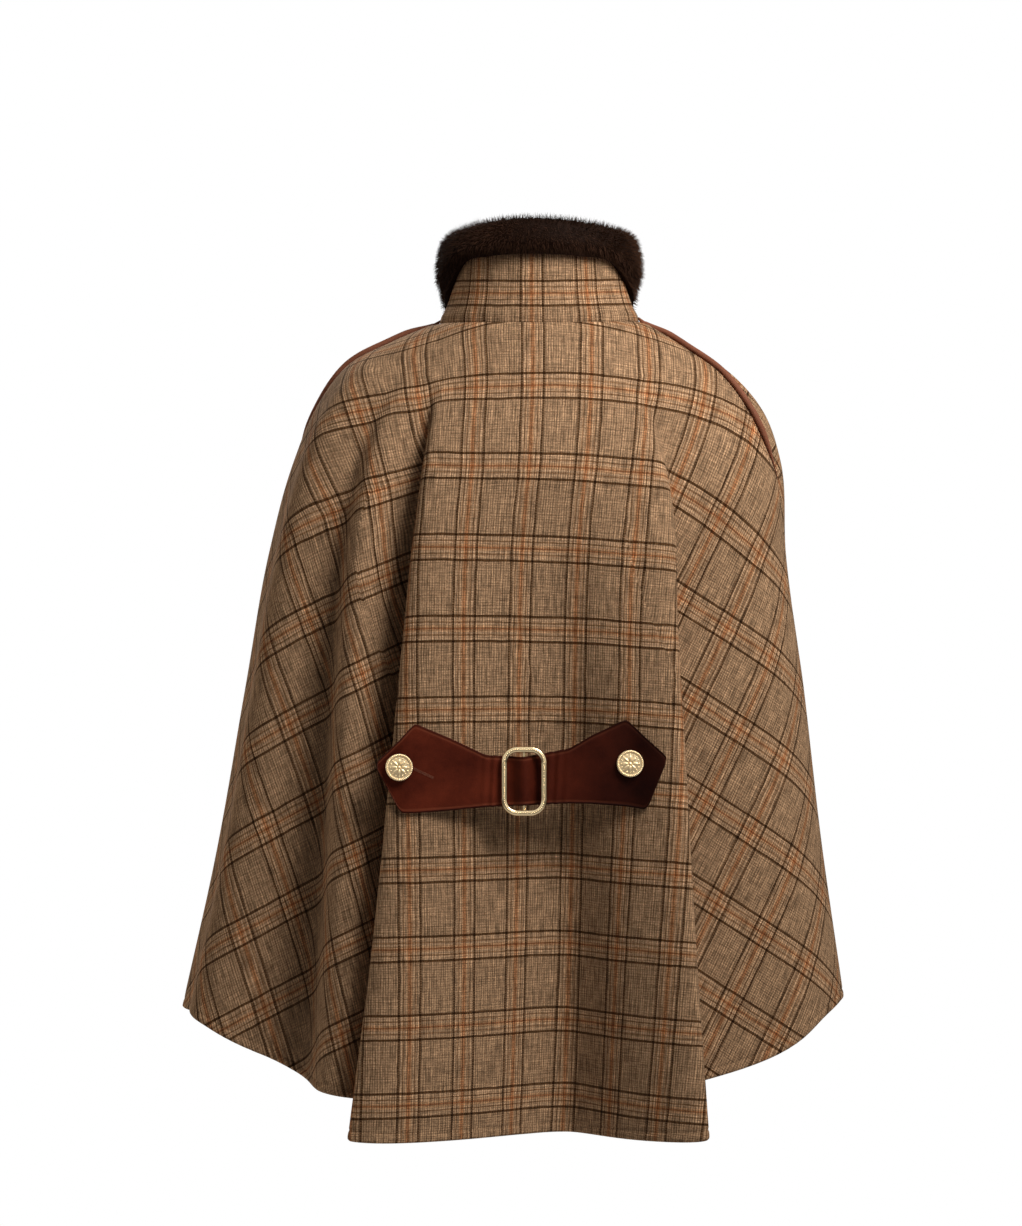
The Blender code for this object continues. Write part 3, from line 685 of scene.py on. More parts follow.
def hemmed(points, normals, drops):
    shape = np.zeros_like(drops)
    shape[-len(hemRows):] = hemShape * np.where(hemShape < 0, panel["hemGroove"], panel["hemRoll"])
    shape -= panel["neckGroove"] * (1 - ease(drops / panel["neckTurn"]))  # drawn in by the neck seam
    return points + normals * shape[:, None, None]


grainTurn = {
    "leftWing": np.radians((-8.0, 0.0)),  # warps, wefts
    "rightWing": np.radians((-3.0, -11.0)),
    "wingFrom": 33.0,
    "wingFull": 43.0,
    "apexDrop": 0.12,
    "fullDrop": 0.40,
}
checkPlace = {
    "backWarp": 0.0035,
    "weftTop": -0.0402,
    "weftSpread": 0.0770,
    "weftClosing": 0.832,
    "weftBand": 0.0245,
    "warpLean": 0.030,
    "leanFrom": -0.353,
    "topSpread": 0.085,
    "spreadAbove": -0.13,
    "spreadFrom": -0.108,
    "front": (0.010, 0.020),
    "stand": (-0.0110, 0.0150),
}


def turnWings(drops, angles, flat):
    # the cloth in the flutes takes up some turn of the grain, and the bias gives between warp and weft
    degrees = np.degrees(angles)
    for sign, turn in ((1, grainTurn["leftWing"]), (-1, grainTurn["rightWing"])):
        row = int(np.argmin(np.abs(drops - grainTurn["apexDrop"])))
        middle = sign * (grainTurn["wingFrom"] + grainTurn["wingFull"]) / 2
        apex = flat[row, int(np.argmin(np.abs(degrees[row] - middle)))]
        wide = grainTurn["wingFull"] - grainTurn["wingFrom"]
        tall = grainTurn["fullDrop"] - grainTurn["apexDrop"]
        share = ease((degrees * sign - grainTurn["wingFrom"]) / wide)
        grown = ease((drops - grainTurn["apexDrop"]) / tall)
        warp, weft = [angle * share * grown[:, None] for angle in turn]
        away = flat - apex
        across = away[..., 0] * np.cos(warp) - away[..., 1] * np.sin(warp)
        along = away[..., 0] * np.sin(weft) + away[..., 1] * np.cos(weft)
        flat = apex + np.stack((across, along), axis=-1)
    return flat


def placeChecks(flat, middle, heights):
    # down the middle the wefts lie at the photographed heights, a little closer together towards the hem
    order = flat[::-1, middle, 1]
    height = np.interp(flat[..., 1], order, heights[::-1])
    height = height + np.minimum(flat[..., 1] - order[0], 0) + np.maximum(flat[..., 1] - order[-1], 0)
    below = checkPlace["weftTop"] - height
    repeats = below / checkPlace["weftSpread"] + checkPlace["weftClosing"] * below * np.abs(below)
    lean = checkPlace["warpLean"] * (height - checkPlace["leanFrom"])
    raised = np.clip(1 - height / checkPlace["spreadAbove"], 0, 1)
    spread = checkPlace["topSpread"] * raised * (flat[..., 0] - checkPlace["spreadFrom"])
    return np.stack((flat[..., 0] - checkPlace["backWarp"] + lean - spread,
                     checkPlace["weftBand"] - repeats * tweed["weftRepeat"]), axis=-1)


def makePanel(node, points, normals, drops, cut):
    inner = points - normals * panel["wall"]
    piece = sheetMesh(node + "_cloth", hemmed(points, normals, drops), inner, tweedFinish, cut)
    dress(piece, "tweed", node)
    return piece


def makeBack():
    drops, count = clothDrops(), panel["backColumns"]
    _, points, normals = backGrid(drops, count)
    coarseAngles = backGrid(np.linspace(0, 1, panel["flatRows"]), panel["flatColumns"])[0]
    middle = int(np.argmin(np.abs(coarseAngles[-1])))
    flatDrops, shares, angles, flat, heights = layOut(backGrid, middle / (panel["flatColumns"] - 1))
    checks = placeChecks(turnWings(flatDrops, angles, flat), middle, heights)
    cut = readOff(flatDrops, shares, checks, drops, count)
    return makePanel("cape_back", points, normals, drops, cut)


def makeFront(side):
    def grid(drops, count):
        return frontGrid(side, drops, count)

    drops, count = clothDrops(), panel["frontColumns"]
    _, points, normals = grid(drops, count)
    flatDrops, shares, _, flat, _ = layOut(grid, 1.0 if side == "left" else 0.0, panel["frontBlurs"])
    cut = readOff(flatDrops, shares, flat, drops, count) - checkPlace["front"]
    return makePanel("cape_front_" + side, points, normals, drops, cut)


backCloth = makeBack()
makeFront("left")
makeFront("right")

# stand collar and its fur
collar = {
    "rise": (0.085, 0.069, 0.084),  # back, side, front
    "inset": (0.0090, 0.0165, 0.0040),
    "pile": (0.0145, 0.0200, 0.0175),
    "facing": (0.036, 0.036, 0.036),
    "endDegrees": 2.5,
    "wall": 0.0030,
    "gap": 0.0005,
    "stations": 181,
    "standRows": 40,
    "seamGroove": 0.0021,
    "seamTurn": 0.10,
    "seamLap": 0.0010,
}
fur = {
    "fall": np.array((  # degrees from the middle, how far it falls
        (0.0, 0.0210), (30.0, 0.0200), (50.0, 0.0190), (70.0, 0.0320), (92.0, 0.0460), (180.0, 0.0550))),
    "rows": (9, 12, 6),  # outside, over the crown, inside
    "rootPile": 0.30,  # share of the pile at the lower edge
    "rootReach": 0.5,
    "topDip": 0.14,
    "topDipFrom": 0.25,
    "topDipReach": 0.23,
    "innerThin": 0.6,
    "innerFrom": 0.55,
    "crownTurn": (14, 158),
    "crown": 0.016,
    "crownRoot": 0.35,
    "crownPile": 0.80,
    "innerPile": 0.011,
    "endThin": 0.45,
    "endFrom": 0.93,
    "skin": 0.72,  # the skin's share of the full pile, the hairs stand on it
    "tufts": 0.0009,
    "tuftWaves": ((0.61, 1.7), (1.13, -0.9)),  # radians a station, radians a row
    "hair": 0.0060,
    "radius": 0.00030,
    "density": 440000.0,
    "lean": 0.55,
    "leanFrom": 5.0,  # rows from the crown
    "grown": (0.65, 1.15),
    "stray": 0.26,
    "skinTones": ((0.008, 0.0035, 0.002), (0.022, 0.010, 0.006)),
    "hairTones": ((0.018, 0.0078, 0.0044), (0.074, 0.0350, 0.0205)),
    "seed": 11,
    "shadeSeed": 7,
}


def collarSize(name, angle):
    back, side, front = collar[name]
    return side + np.where(np.cos(angle) > 0, back - side, front - side) * np.cos(angle) ** 2


def standPoint(angle, below, out):
    neck = np.zeros_like(angle)
    run = bodyPoint(neck, angle + angleStep) - bodyPoint(neck, angle - angleStep)
    outward = unit(np.stack((-run[:, 1], run[:, 0], neck), axis=-1))
    rise = collarSize("rise", angle)
    height = rise - below
    lean = collarSize("inset", angle) * (1 - (1 - np.clip(height / rise, 0, 1)) ** 3)
    point = bodyPoint(neck, angle) + outward * (out - lean)[:, None]
    point[:, 2] += height
    return point


def collarAngles():
    end = math.pi - math.radians(collar["endDegrees"])
    return np.linspace(-end, end, collar["stations"])


def makeStand():
    angles = collarAngles()
    flat = np.zeros_like(angles)
    reach = collarSize("rise", angles) + collar["seamLap"]  # sewn down into the neck seam
    shares = np.linspace(0, 1, collar["standRows"])
    drawn = -collar["seamGroove"] * (1 - ease((1 - shares) / collar["seamTurn"]))
    outer = np.stack([standPoint(angles, reach * share, flat + d) for share, d in zip(shares, drawn)])
    inner = np.stack([standPoint(angles, reach * share, flat - collar["wall"]) for share in shares])
    middle = outer[len(shares) // 2]
    run = np.concatenate(([0], np.cumsum(np.linalg.norm(np.diff(middle[:, :2], axis=0), axis=1))))
    run = run - run[len(run) // 2]
    cut = np.zeros(outer.shape[:2] + (2,))
    cut[..., 0] = run
    cut[..., 1] = reach[None, :] * (1 - shares[:, None])
    piece = sheetMesh("collar_stand_cloth", outer, inner, tweedFinish, cut - checkPlace["stand"])
    dress(piece, "tweed", "collar_stand")


def furLoop(angles, share):
    # each station's ring: up the outside, over the crown, down the inside and back along the stand
    flat = np.zeros_like(angles)
    end = np.abs(np.linspace(-1, 1, len(angles)))
    full = 1 - fur["endThin"] * ease((end - fur["endFrom"]) / (1 - fur["endFrom"]))
    pile = collarSize("pile", angles) * full * share
    innerPile = fur["innerPile"] * full * share
    fall = smooth(fur["fall"][:, 0], fur["fall"][:, 1], np.degrees(np.abs(angles)))
    facing = collarSize("facing", angles)
    outerRows, crownRows, innerRows = fur["rows"]
    outside, inside = collar["gap"], -collar["wall"] - collar["gap"]
    loop = []
    for down in np.linspace(1.0, 0.02, outerRows):
        risen = ease((1.0 - down) / fur["rootReach"])
        dipped = fur["topDip"] * ease((fur["topDipFrom"] - down) / fur["topDipReach"])
        thick = fur["rootPile"] + (1 - fur["rootPile"]) * risen - dipped
        loop.append(standPoint(angles, fall * down, outside + pile * thick))
    crownPile = pile * fur["crownPile"]
    middle = (outside + crownPile + inside - innerPile) / 2
    half = (outside + crownPile - inside + innerPile) / 2
    for turn in np.radians(np.linspace(*fur["crownTurn"], crownRows)):
        over = fur["crown"] * (fur["crownRoot"] + (1 - fur["crownRoot"]) * share) * math.sin(turn)
        loop.append(standPoint(angles, flat - over, middle + half * math.cos(turn)))
    for down in np.linspace(0.1, 1.0, innerRows):
        thick = 1.0 - fur["innerThin"] * ease((down - fur["innerFrom"]) / (1 - fur["innerFrom"]))
        loop.append(standPoint(angles, facing * down, inside - innerPile * thick))
    sewn = len(loop)
    for down in (1.0, 0.5, 0.0):
        loop.append(standPoint(angles, facing * down - collar["gap"], flat + inside))
    for down in (0.0, 0.35, 0.7, 1.0):
        loop.append(standPoint(angles, fall * down - collar["gap"], flat + outside))
    return np.stack(loop, axis=1), sewn


def makeFurFinish(name, tones, hairs):
    finish, tree, shader = newFinish(name)
    clumps = noise(tree, objectPlace(tree), 160.0, 3.0)
    if hairs:
        shade = addNode(tree, "ShaderNodeAttribute", attribute_name="shade").outputs["Fac"]
        clumps = calc(tree, "MULTIPLY_ADD", shade, 0.6, calc(tree, "MULTIPLY", clumps, 0.55))
    dark, pale = [colour(*tone) for tone in tones]
    shown = blendColour(tree, "MIX", mapRange(tree, clumps, 0.0, 1.0), dark, pale)
    tree.links.new(shown, shader.inputs["Base Color"])
    shader.inputs["Roughness"].default_value = 0.62
    shader.inputs["Specular IOR Level"].default_value = 0.04
    return finish


furSkinFinish = makeFurFinish("dark_brown_fur_skin", fur["skinTones"], False)
furHairFinish = makeFurFinish("dark_brown_fur_hair", fur["hairTones"], True)


def makeHairTree():
    sizes = {"Density": "Float", "Hair length": "Float", "Hair radius": "Float", "Stray": "Float",
             "Seed": "Int", "Finish": "Material"}
    tree, sizeOf, out = nodeTree("fur_hairs", sizes)
    seed = sizeOf["Seed"]
    spread = addNode(tree, "GeometryNodeDistributePointsOnFaces",
                     {"Mesh": sizeOf["Geometry"], "Density": sizeOf["Density"], "Seed": seed},
                     distribute_method="RANDOM")
    comb = addNode(tree, "GeometryNodeInputNamedAttribute", {"Name": "comb"}, data_type="FLOAT_VECTOR")
    stray = randomValue(tree, seed, "FLOAT_VECTOR", (-1.0, -1.0, -1.0), (1.0, 1.0, 1.0))
    lie = vectorCalc(tree, "ADD", spread.outputs["Normal"], comb.outputs["Attribute"])
    lie = vectorCalc(tree, "ADD", lie, vectorCalc(tree, "SCALE", stray, sizeOf["Stray"]))
    turn = addNode(tree, "FunctionNodeAlignRotationToVector", {"Vector": lie}, axis="Z").outputs[0]
    hair = addNode(tree, "GeometryNodeMeshCone",
                   {"Vertices": 3, "Side Segments": 1, "Radius Top": 0.0, "Depth": sizeOf["Hair length"],
                    "Radius Bottom": sizeOf["Hair radius"]}, fill_type="NONE").outputs["Mesh"]
    pelt = addNode(tree, "GeometryNodeInstanceOnPoints",
                   {"Points": spread.outputs["Points"], "Instance": hair, "Rotation": turn,
                    "Scale": randomValue(tree, seed, "FLOAT", *fur["grown"])}).outputs[0]
    shade = {"Geometry": pelt, "Name": "shade", "Value": randomValue(tree, fur["shadeSeed"])}
    shaded = addNode(tree, "GeometryNodeStoreNamedAttribute", shade, data_type="FLOAT", domain="INSTANCE")
    return endTree(tree, out, shaded.outputs[0], sizeOf["Finish"], rounded=False)


def makeFur():
    angles = collarAngles()
    full, _ = furLoop(angles, 1.0)
    skin, sewn = furLoop(angles, fur["skin"])
    stations, around = skin.shape[:2]
    tufts = np.ones((stations, around))
    for along, across in fur["tuftWaves"]:
        tufts = tufts * np.sin(np.arange(stations)[:, None] * along + np.arange(around)[None, :] * across)
    grow = unit(full[:, :sewn] - skin[:, :sewn] + 1e-9)
    skin[:, :sewn] += grow * (tufts[:, :sewn] * fur["tufts"])[..., None]
    faces = []
    for i in range(stations - 1):
        for j in range(around):
            k = (j + 1) % around
            faces.append((i * around + j, i * around + k, (i + 1) * around + k, (i + 1) * around + j))
    faces.append(tuple(range(around - 1, -1, -1)))
    faces.append(tuple((stations - 1) * around + j for j in range(around)))
    base = makeMesh("collar_fur_skin", skin, faces, furSkinFinish)
    dress(base, "fur", "collar_fur")
    down = np.diff(skin[:, :sewn], axis=1, append=skin[:, sewn - 1:sewn] * 2 - skin[:, sewn - 2:sewn - 1])
    top = int(np.argmax(skin[:, :sewn, 2].mean(axis=0)))
    comb = unit(down) * fur["lean"]
    comb[:, :top] *= -1  # combed away from the crown on both sides
    comb *= np.minimum(np.abs(np.arange(sewn) - top) / fur["leanFrom"], 1.0)[None, :, None]
    tree = makeHairTree()
    half = stations // 2
    halves = ("collar_fur_right", slice(0, half + 1)), ("collar_fur_left", slice(half, None))
    for more, (name, part) in enumerate(halves):
        bed = skin[part, :sewn]
        host = makeMesh(name + "_bed", bed, gridFaces(bed.shape[0], sewn), furHairFinish)
        layer = host.data.attributes.new("comb", "FLOAT_VECTOR", "POINT")
        layer.data.foreach_set("vector", comb[part].astype(np.float32).ravel())
        grownFur = growOn(host, tree, name, {
            "Density": fur["density"], "Hair length": fur["hair"], "Hair radius": fur["radius"],
            "Stray": fur["stray"], "Seed": fur["seed"] + more, "Finish": furHairFinish})
        dress(grownFur, "fur")
        print(name, len(grownFur.data.polygons), "faces")


makeStand()
makeFur()

# leather: soft red-brown and mottled, the strap with dark rubbed edges, a painted highlight as a paler line
# beside them, and painted shade darkening its right end
leather = {
    "dark": (0.050, 0.0070, 0.0034),
    "mid": (0.148, 0.0240, 0.0100),
    "edge": (0.030, 0.0050, 0.0024),
    "lipHighlight": (0.260, 0.070, 0.034),
    "cordDark": (0.200, 0.072, 0.040),
    "cordMid": (0.300, 0.115, 0.066),
    "shadedRightEnd": 0.20,  # share of its colour that the right end keeps under the painted shade
    "shadeOver": (-0.10, 0.03),
}


def makeLeather(name, dark, mid, withEdge):
    finish, tree, shader = newFinish(name)
    place = objectPlace(tree)
    clouds = noise(tree, place, 24.0, 5.0, roughness=0.6)
    pores = addNode(tree, "ShaderNodeTexVoronoi", {"Vector": place, "Scale": 1500.0}).outputs["Distance"]
    fine = noise(tree, place, 900.0, 2.0)
    grey = addNode(tree, "ShaderNodeCombineColor", {0: fine, 1: fine, 2: fine}).outputs[0]
    mottled = mapRange(tree, clouds, 0.0, 1.0, 0.3, 0.7)
    skin = blendColour(tree, "MIX", mottled, colour(*dark), colour(*mid))
    skin = blendColour(tree, "MULTIPLY", 0.35, skin, grey)
    if withEdge:
        # painted highlight: the paler line along the edges stands for their catching the light; the darker
        # rubbed edges are the leather's own
        for band in ("lipHighlight", "edge"):
            share = addNode(tree, "ShaderNodeAttribute", attribute_name=band).outputs["Fac"]
            skin = blendColour(tree, "MIX", share, skin, colour(*leather[band]))
        # painted shade: the strap grows darker towards its right end
        across = addNode(tree, "ShaderNodeSeparateXYZ", {0: place}).outputs[0]
        paintedShade = mapRange(tree, across, leather["shadedRightEnd"], 1.0, *leather["shadeOver"])
        skin = vectorCalc(tree, "SCALE", skin, paintedShade)
    tree.links.new(skin, shader.inputs["Base Color"])
    tree.links.new(mapRange(tree, clouds, 0.40, 0.60), shader.inputs["Roughness"])
    addBump(tree, shader, 0.30, 0.0002, calc(tree, "MULTIPLY_ADD", fine, 0.6, pores))
    shader.inputs["Specular IOR Level"].default_value = 0.06
    return finish


strapFinish = makeLeather("red_brown_leather", leather["dark"], leather["mid"], True)
cordFinish = makeLeather("piping_leather", leather["cordDark"], leather["cordMid"], False)

# piping along the shoulder seams
piping = {
    "radius": 0.0030,
    "drops": (0.001, 0.30),
    "stations": 90,
    "sides": 14,
    "endThin": 0.9,
    "endFrom": 0.75,
    "round": 0.03,
    "tucked": 0.0045,
    "proud": 0.8,  # shares of the radius
    "sunk": 1.3,
    "sunkTo": 0.16,
}


def makePiping(side):
    drops = np.linspace(*piping["drops"], piping["stations"])
    share = np.linspace(0, 1, len(drops))
    thinned = ease((share - piping["endFrom"]) / (1 - piping["endFrom"]))
    radius = piping["radius"] * (1 - piping["endThin"] * thinned)
    radius = radius * np.sqrt(1 - np.clip(0.97 - share / piping["round"], 0, 1) ** 2)
    angle = seamAngle(side, drops)
    proud = radius * (piping["proud"] - piping["sunk"] * (1 - ease(share / piping["sunkTo"])))
    path = capePoint(drops, angle) + capeNormal(drops, angle) * proud[:, None]
    path[0] -= unit(path[1] - path[0]) * piping["tucked"]  # caught in the neck seam
    rings = tube(path, radius, piping["sides"])
    piece = makeMesh("piping_" + side + "_cord", rings, tubeFaces(len(path), piping["sides"]), cordFinish)
    dress(piece, "leather", "piping_" + side)


makePiping("left")
makePiping("right")
print("collar, fur and piping made")

# half belt: a shaped strap across the back, which bridges the hollow between the ridges
belt = {
    "outline": np.array((  # x, top edge, bottom edge
        (0.1425, -0.4020, -0.4090),
        (0.1215, -0.3820, -0.4480),
        (0.1085, -0.3675, -0.4480),
        (0.0745, -0.3820, -0.4455),
        (0.0430, -0.3970, -0.4425),
        (0.0080, -0.3985, -0.4410),
        (-0.0340, -0.3910, -0.4395),
        (-0.0545, -0.3790, -0.4400),
        (-0.0865, -0.3640, -0.4425),
        (-0.1055, -0.3820, -0.4455),
        (-0.1222, -0.3970, -0.4040),
    )),
    "wall": 0.0032,
    "rest": (-0.094, 0.112),  # x where the ends lie down on the cloth
    "bend": 0.008,
    "hump": 0.0075,
    "humpReach": 0.0142,
    "buckleX": 0.0080,
    "stations": 260,
    "rows": 30,
    "fineSteps": 1200,
    "castsAcross": 7,
    "castsDown": 4,
    "bendSteps": 9,
    "soften": 0.0022,
    "tipReach": 0.002,
    "edgeBand": 0.0016,
    "edgeDip": 0.00035,
    "dipWidth": 0.0007,
    "rubWidth": 0.0008,
    "rubbed": (0.75, 0.4, 0.9),  # at the front's edge, behind, round the rim
    # painted highlight: the paler line's share at the front's edge, behind, round the rim
    "lipHighlight": (0.45, 0.0, 0.0),
    "pinch": 0.0006,  # creases beside the buckle
    "pinchAt": 0.027,
    "pinchReach": 0.012,
    "pinchPitch": 0.0085,
    "pinchSlant": 0.06,
    "middleZ": -0.42,
}


def surfaceOf(piece):
    mesh = piece.data
    points = [v.co.copy() for v in mesh.vertices]
    return BVHTree.FromPolygons(points, [tuple(p.vertices) for p in mesh.polygons])


def castOn(surface, x, z):
    # where a line straight in from the back meets a piece
    return surface.ray_cast(Vector((x, 1.0, z)), Vector((0, -1, 0)))[0]


backSurface = surfaceOf(backCloth)


def beltEdges(x):
    # straight between the corners, each corner rounded a little
    order = belt["outline"][::-1]
    fine = np.linspace(order[0, 0], order[-1, 0], belt["fineSteps"])
    width = belt["soften"] / (fine[1] - fine[0])
    kernel = np.exp(-np.linspace(-2.5, 2.5, int(5 * width) | 1) ** 2 / 2)
    kernel /= kernel.sum()
    pad = len(kernel) // 2
    edges = []
    for k in (1, 2):
        line = np.interp(fine, order[:, 0], order[:, k])
        line = np.convolve(np.pad(line, pad, mode="reflect", reflect_type="odd"), kernel, mode="valid")
        edges.append(np.interp(x, fine, line))
    return edges


def clothY(x):
    # the strap stands upright, and its stiff ends run on flat past the crest
    places = np.linspace(np.clip(x, *belt["rest"]), x, belt["castsAcross"])
    heights = np.linspace(*beltEdges(x), belt["castsDown"])
    return max(castOn(backSurface, place, z).y for place in places for z in heights)


def beltBackY(stations):
    # on the cloth at the ends, straight between them, and over the buckle's bar
    cloth = np.array([clothY(x) for x in stations])
    rest = np.interp(belt["rest"], stations, cloth)
    lying = np.maximum(cloth, np.interp(stations, belt["rest"], rest))
    near = stations[:, None] + np.linspace(-1, 1, belt["bendSteps"]) * belt["bend"]
    lying = np.maximum(np.interp(near, stations, lying).mean(axis=1), cloth)
    reach = np.clip((stations - belt["buckleX"]) / belt["humpReach"], -1, 1)
    return lying + panel["layGap"] + belt["hump"] * np.cos(reach * math.pi / 2) ** 2


def makeBelt():
    stations = np.linspace(belt["outline"][-1, 0], belt["outline"][0, 0], belt["stations"])
    top, bottom = beltEdges(stations)
    shares = 0.5 - 0.5 * np.cos(np.linspace(0, math.pi, belt["rows"]))
    z = top[None, :] + (bottom - top)[None, :] * shares[:, None]
    x = np.broadcast_to(stations, z.shape)
    lying = np.broadcast_to(beltBackY(stations), z.shape)
    fromEdge = np.minimum(top[None] - z, z - bottom[None])
    fromTip = np.minimum(x - stations[0], stations[-1] - x) + belt["tipReach"]
    away = np.minimum(fromEdge, fromTip)
    dip = belt["edgeDip"] * np.exp(-((away - belt["edgeBand"]) / belt["dipWidth"]) ** 2)
    near = np.exp(-((np.abs(x - belt["buckleX"]) - belt["pinchAt"]) / belt["pinchReach"]) ** 2)
    slanted = x + belt["pinchSlant"] * (z - belt["middleZ"])
    pinch = belt["pinch"] * near * np.sin(slanted * 2 * math.pi / belt["pinchPitch"])
    back = np.stack((x, lying, z), axis=-1)
    front = back + np.stack((0 * z, belt["wall"] - dip + pinch, 0 * z), axis=-1)
    piece = sheetMesh("half_belt_leather", front, back, strapFinish, roundness=0.35)
    rubbed = np.exp(-(np.clip(away, 0, 1) / belt["rubWidth"]) ** 2)
    # painted highlight: a paler line just inside the edges
    lipHighlight = np.exp(-((away - belt["edgeBand"]) / belt["rubWidth"]) ** 2)
    rimCount = len(piece.data.vertices) - 2 * z.size
    for name, shape, (shown, behind, rim) in (("edge", rubbed, belt["rubbed"]), ("lipHighlight", lipHighlight, belt["lipHighlight"])):
        shade = np.concatenate((shape.ravel() * shown, np.full(z.size, behind), np.full(rimCount, rim)))
        layer = piece.data.attributes.new(name, "FLOAT", "POINT")
        layer.data.foreach_set("value", shade.astype(np.float32))
    return dress(piece, "leather", "half_belt")


beltSurface = surfaceOf(makeBelt())
print("half belt laid over the back")

# gilt: pale polished gold
gilt = {
    "polished": (0.95, 0.79, 0.51),
    "shade": (0.80, 0.61, 0.35),
    "buckleRough": (0.14, 0.26),
    "buttonRough": (0.36, 0.50),
}


def makeGilt(name, roughness):
    finish, tree, shader = newFinish(name)
    rubbed = noise(tree, objectPlace(tree), 260.0, 3.0)
    tone = blendColour(tree, "MIX", rubbed, colour(*gilt["polished"]), colour(*gilt["shade"]))
    tree.links.new(tone, shader.inputs["Base Color"])
    tree.links.new(mapRange(tree, rubbed, *roughness), shader.inputs["Roughness"])
    shader.inputs["Metallic"].default_value = 1.0
    return finish


buckleFinish = makeGilt("polished_gilt", gilt["buckleRough"])
buttonFinish = makeGilt("struck_gilt", gilt["buttonRough"])

# slide buckle: a rounded frame with a fine bead line along its rails, and a bar behind the strap
buckle = {
    "width": 0.042,
    "height": 0.064,
    "corner": 0.012,
    "cornerSteps": 40,
    "wire": 0.0028,
    "wireSides": 20,
    "flatter": 0.8,
    "frameStations": 132,
    "bar": 0.0018,
    "barStations": 9,
    "barSides": 16,
    "setBack": 0.0030,
    "bead": 0.00085,
    "beadSpacing": 0.0021,
    "beadSunk": 0.0002,
}


def makeBeadTree():
    sizes = {"Spacing": "Float", "Bead radius": "Float", "Finish": "Material"}
    tree, sizeOf, out = nodeTree("beads_along_a_line", sizes)
    strung = layOn(tree, alongLine(tree, sizeOf), ball(tree, 8, 5, sizeOf["Bead radius"]))
    return endTree(tree, out, strung, sizeOf["Finish"])


beadTree = makeBeadTree()


def frameLine():
    halfWidth = buckle["width"] / 2 - buckle["wire"]
    halfHeight = buckle["height"] / 2 - buckle["wire"]
    corner, steps = buckle["corner"], 4 * buckle["cornerSteps"]
    turn = np.linspace(0, 2 * math.pi, steps, endpoint=False) + math.pi / steps
    across = np.copysign(halfWidth - corner, np.cos(turn)) + corner * np.cos(turn)
    up = np.copysign(halfHeight - corner, np.sin(turn)) + corner * np.sin(turn)
    line = np.stack((across, up), axis=1)
    closed = np.vstack((line, line[:1]))
    run = np.concatenate(([0], np.cumsum(np.linalg.norm(np.diff(closed, axis=0), axis=1))))
    at = np.linspace(0, run[-1], buckle["frameStations"], endpoint=False)
    return np.stack([np.interp(at, run, closed[:, k]) for k in range(2)], axis=1)


def makeBuckle():
    low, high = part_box("belt_buckle")
    wire, sides, count = buckle["wire"], buckle["wireSides"], buckle["barStations"]
    plane = high.y - wire
    middleX, middleZ = (low.x + high.x) / 2, (low.z + high.z) / 2
    line = frameLine()
    path = np.stack((middleX + line[:, 0], np.full(len(line), plane), middleZ + line[:, 1]), axis=1)
    outward = np.array((0.0, 1.0, 0.0))
    side = unit(np.cross(unit(np.roll(path, -1, axis=0) - np.roll(path, 1, axis=0)), outward))
    turn = np.linspace(0, 2 * math.pi, sides, endpoint=False)
    flatter = np.sign(np.sin(turn)) * np.abs(np.sin(turn)) ** buckle["flatter"]
    rings = (path[:, None] + side[:, None] * (np.cos(turn) * wire)[None, :, None]
             + outward * (flatter * wire)[None, :, None])
    ring = makeMesh("buckle_ring", rings, tubeFaces(len(path), sides, closed=True), buckleFinish)
    ends = np.linspace(-1, 1, count) * (buckle["height"] / 2 - wire)
    behind = np.full(count, plane - buckle["setBack"])
    bar = np.stack((np.full(count, middleX), behind, middleZ + ends), axis=1)
    rings = tube(bar, np.full(count, buckle["bar"]), buckle["barSides"])
    post = makeMesh("buckle_post", rings, tubeFaces(count, buckle["barSides"]), buckleFinish)
    dress(joinMeshes("belt_buckle_slide", [ring, post]), "gilt", "belt_buckle")
    beads = path + outward * (wire - buckle["beadSunk"])
    string = growOn(lineHost("bead_line", [beads], closed=True), beadTree, "belt_buckle_beads", {
        "Spacing": buckle["beadSpacing"], "Bead radius": buckle["bead"], "Finish": buckleFinish})
    dress(string, "gilt")


makeBuckle()

# struck buttons: a dished disc with a roped rim and a plain rosette
button = {
    "sides": 64,
    "profile": (  # radius, height
        (0.0, 0.0000), (0.0040, 0.0000), (0.0040, 0.0012), (0.0112, 0.0014), (0.0121, 0.0018),
        (0.0125, 0.0026), (0.0124, 0.0034), (0.0119, 0.0040), (0.0110, 0.0041), (0.0101, 0.0037),
        (0.0090, 0.0038), (0.0070, 0.0042), (0.0045, 0.0045), (0.0020, 0.0046), (0.0, 0.0046)),
    "reliefs": (  # name, count, ring radius, slant, grain size, height
        ("rope", 44, 0.0113, 0.7, (0.0014175, 0.000756, 0.000756), 0.0040),
        ("rose", 8, 0.0046, 0.0, (0.0033, 0.0015, 0.0009), 0.0044),
        ("leaf", 16, 0.0083, 0.0, (0.0011, 0.0007, 0.0006), 0.0040),
    ),
    "boss": 0.0019,
    "bossHeight": 0.0040,
    "tiltStep": 0.006,
    "start": ((0.0, 0.0, 0.0), (0.0001, 0.0, 0.0)),  # a short line that the relief grows on
}


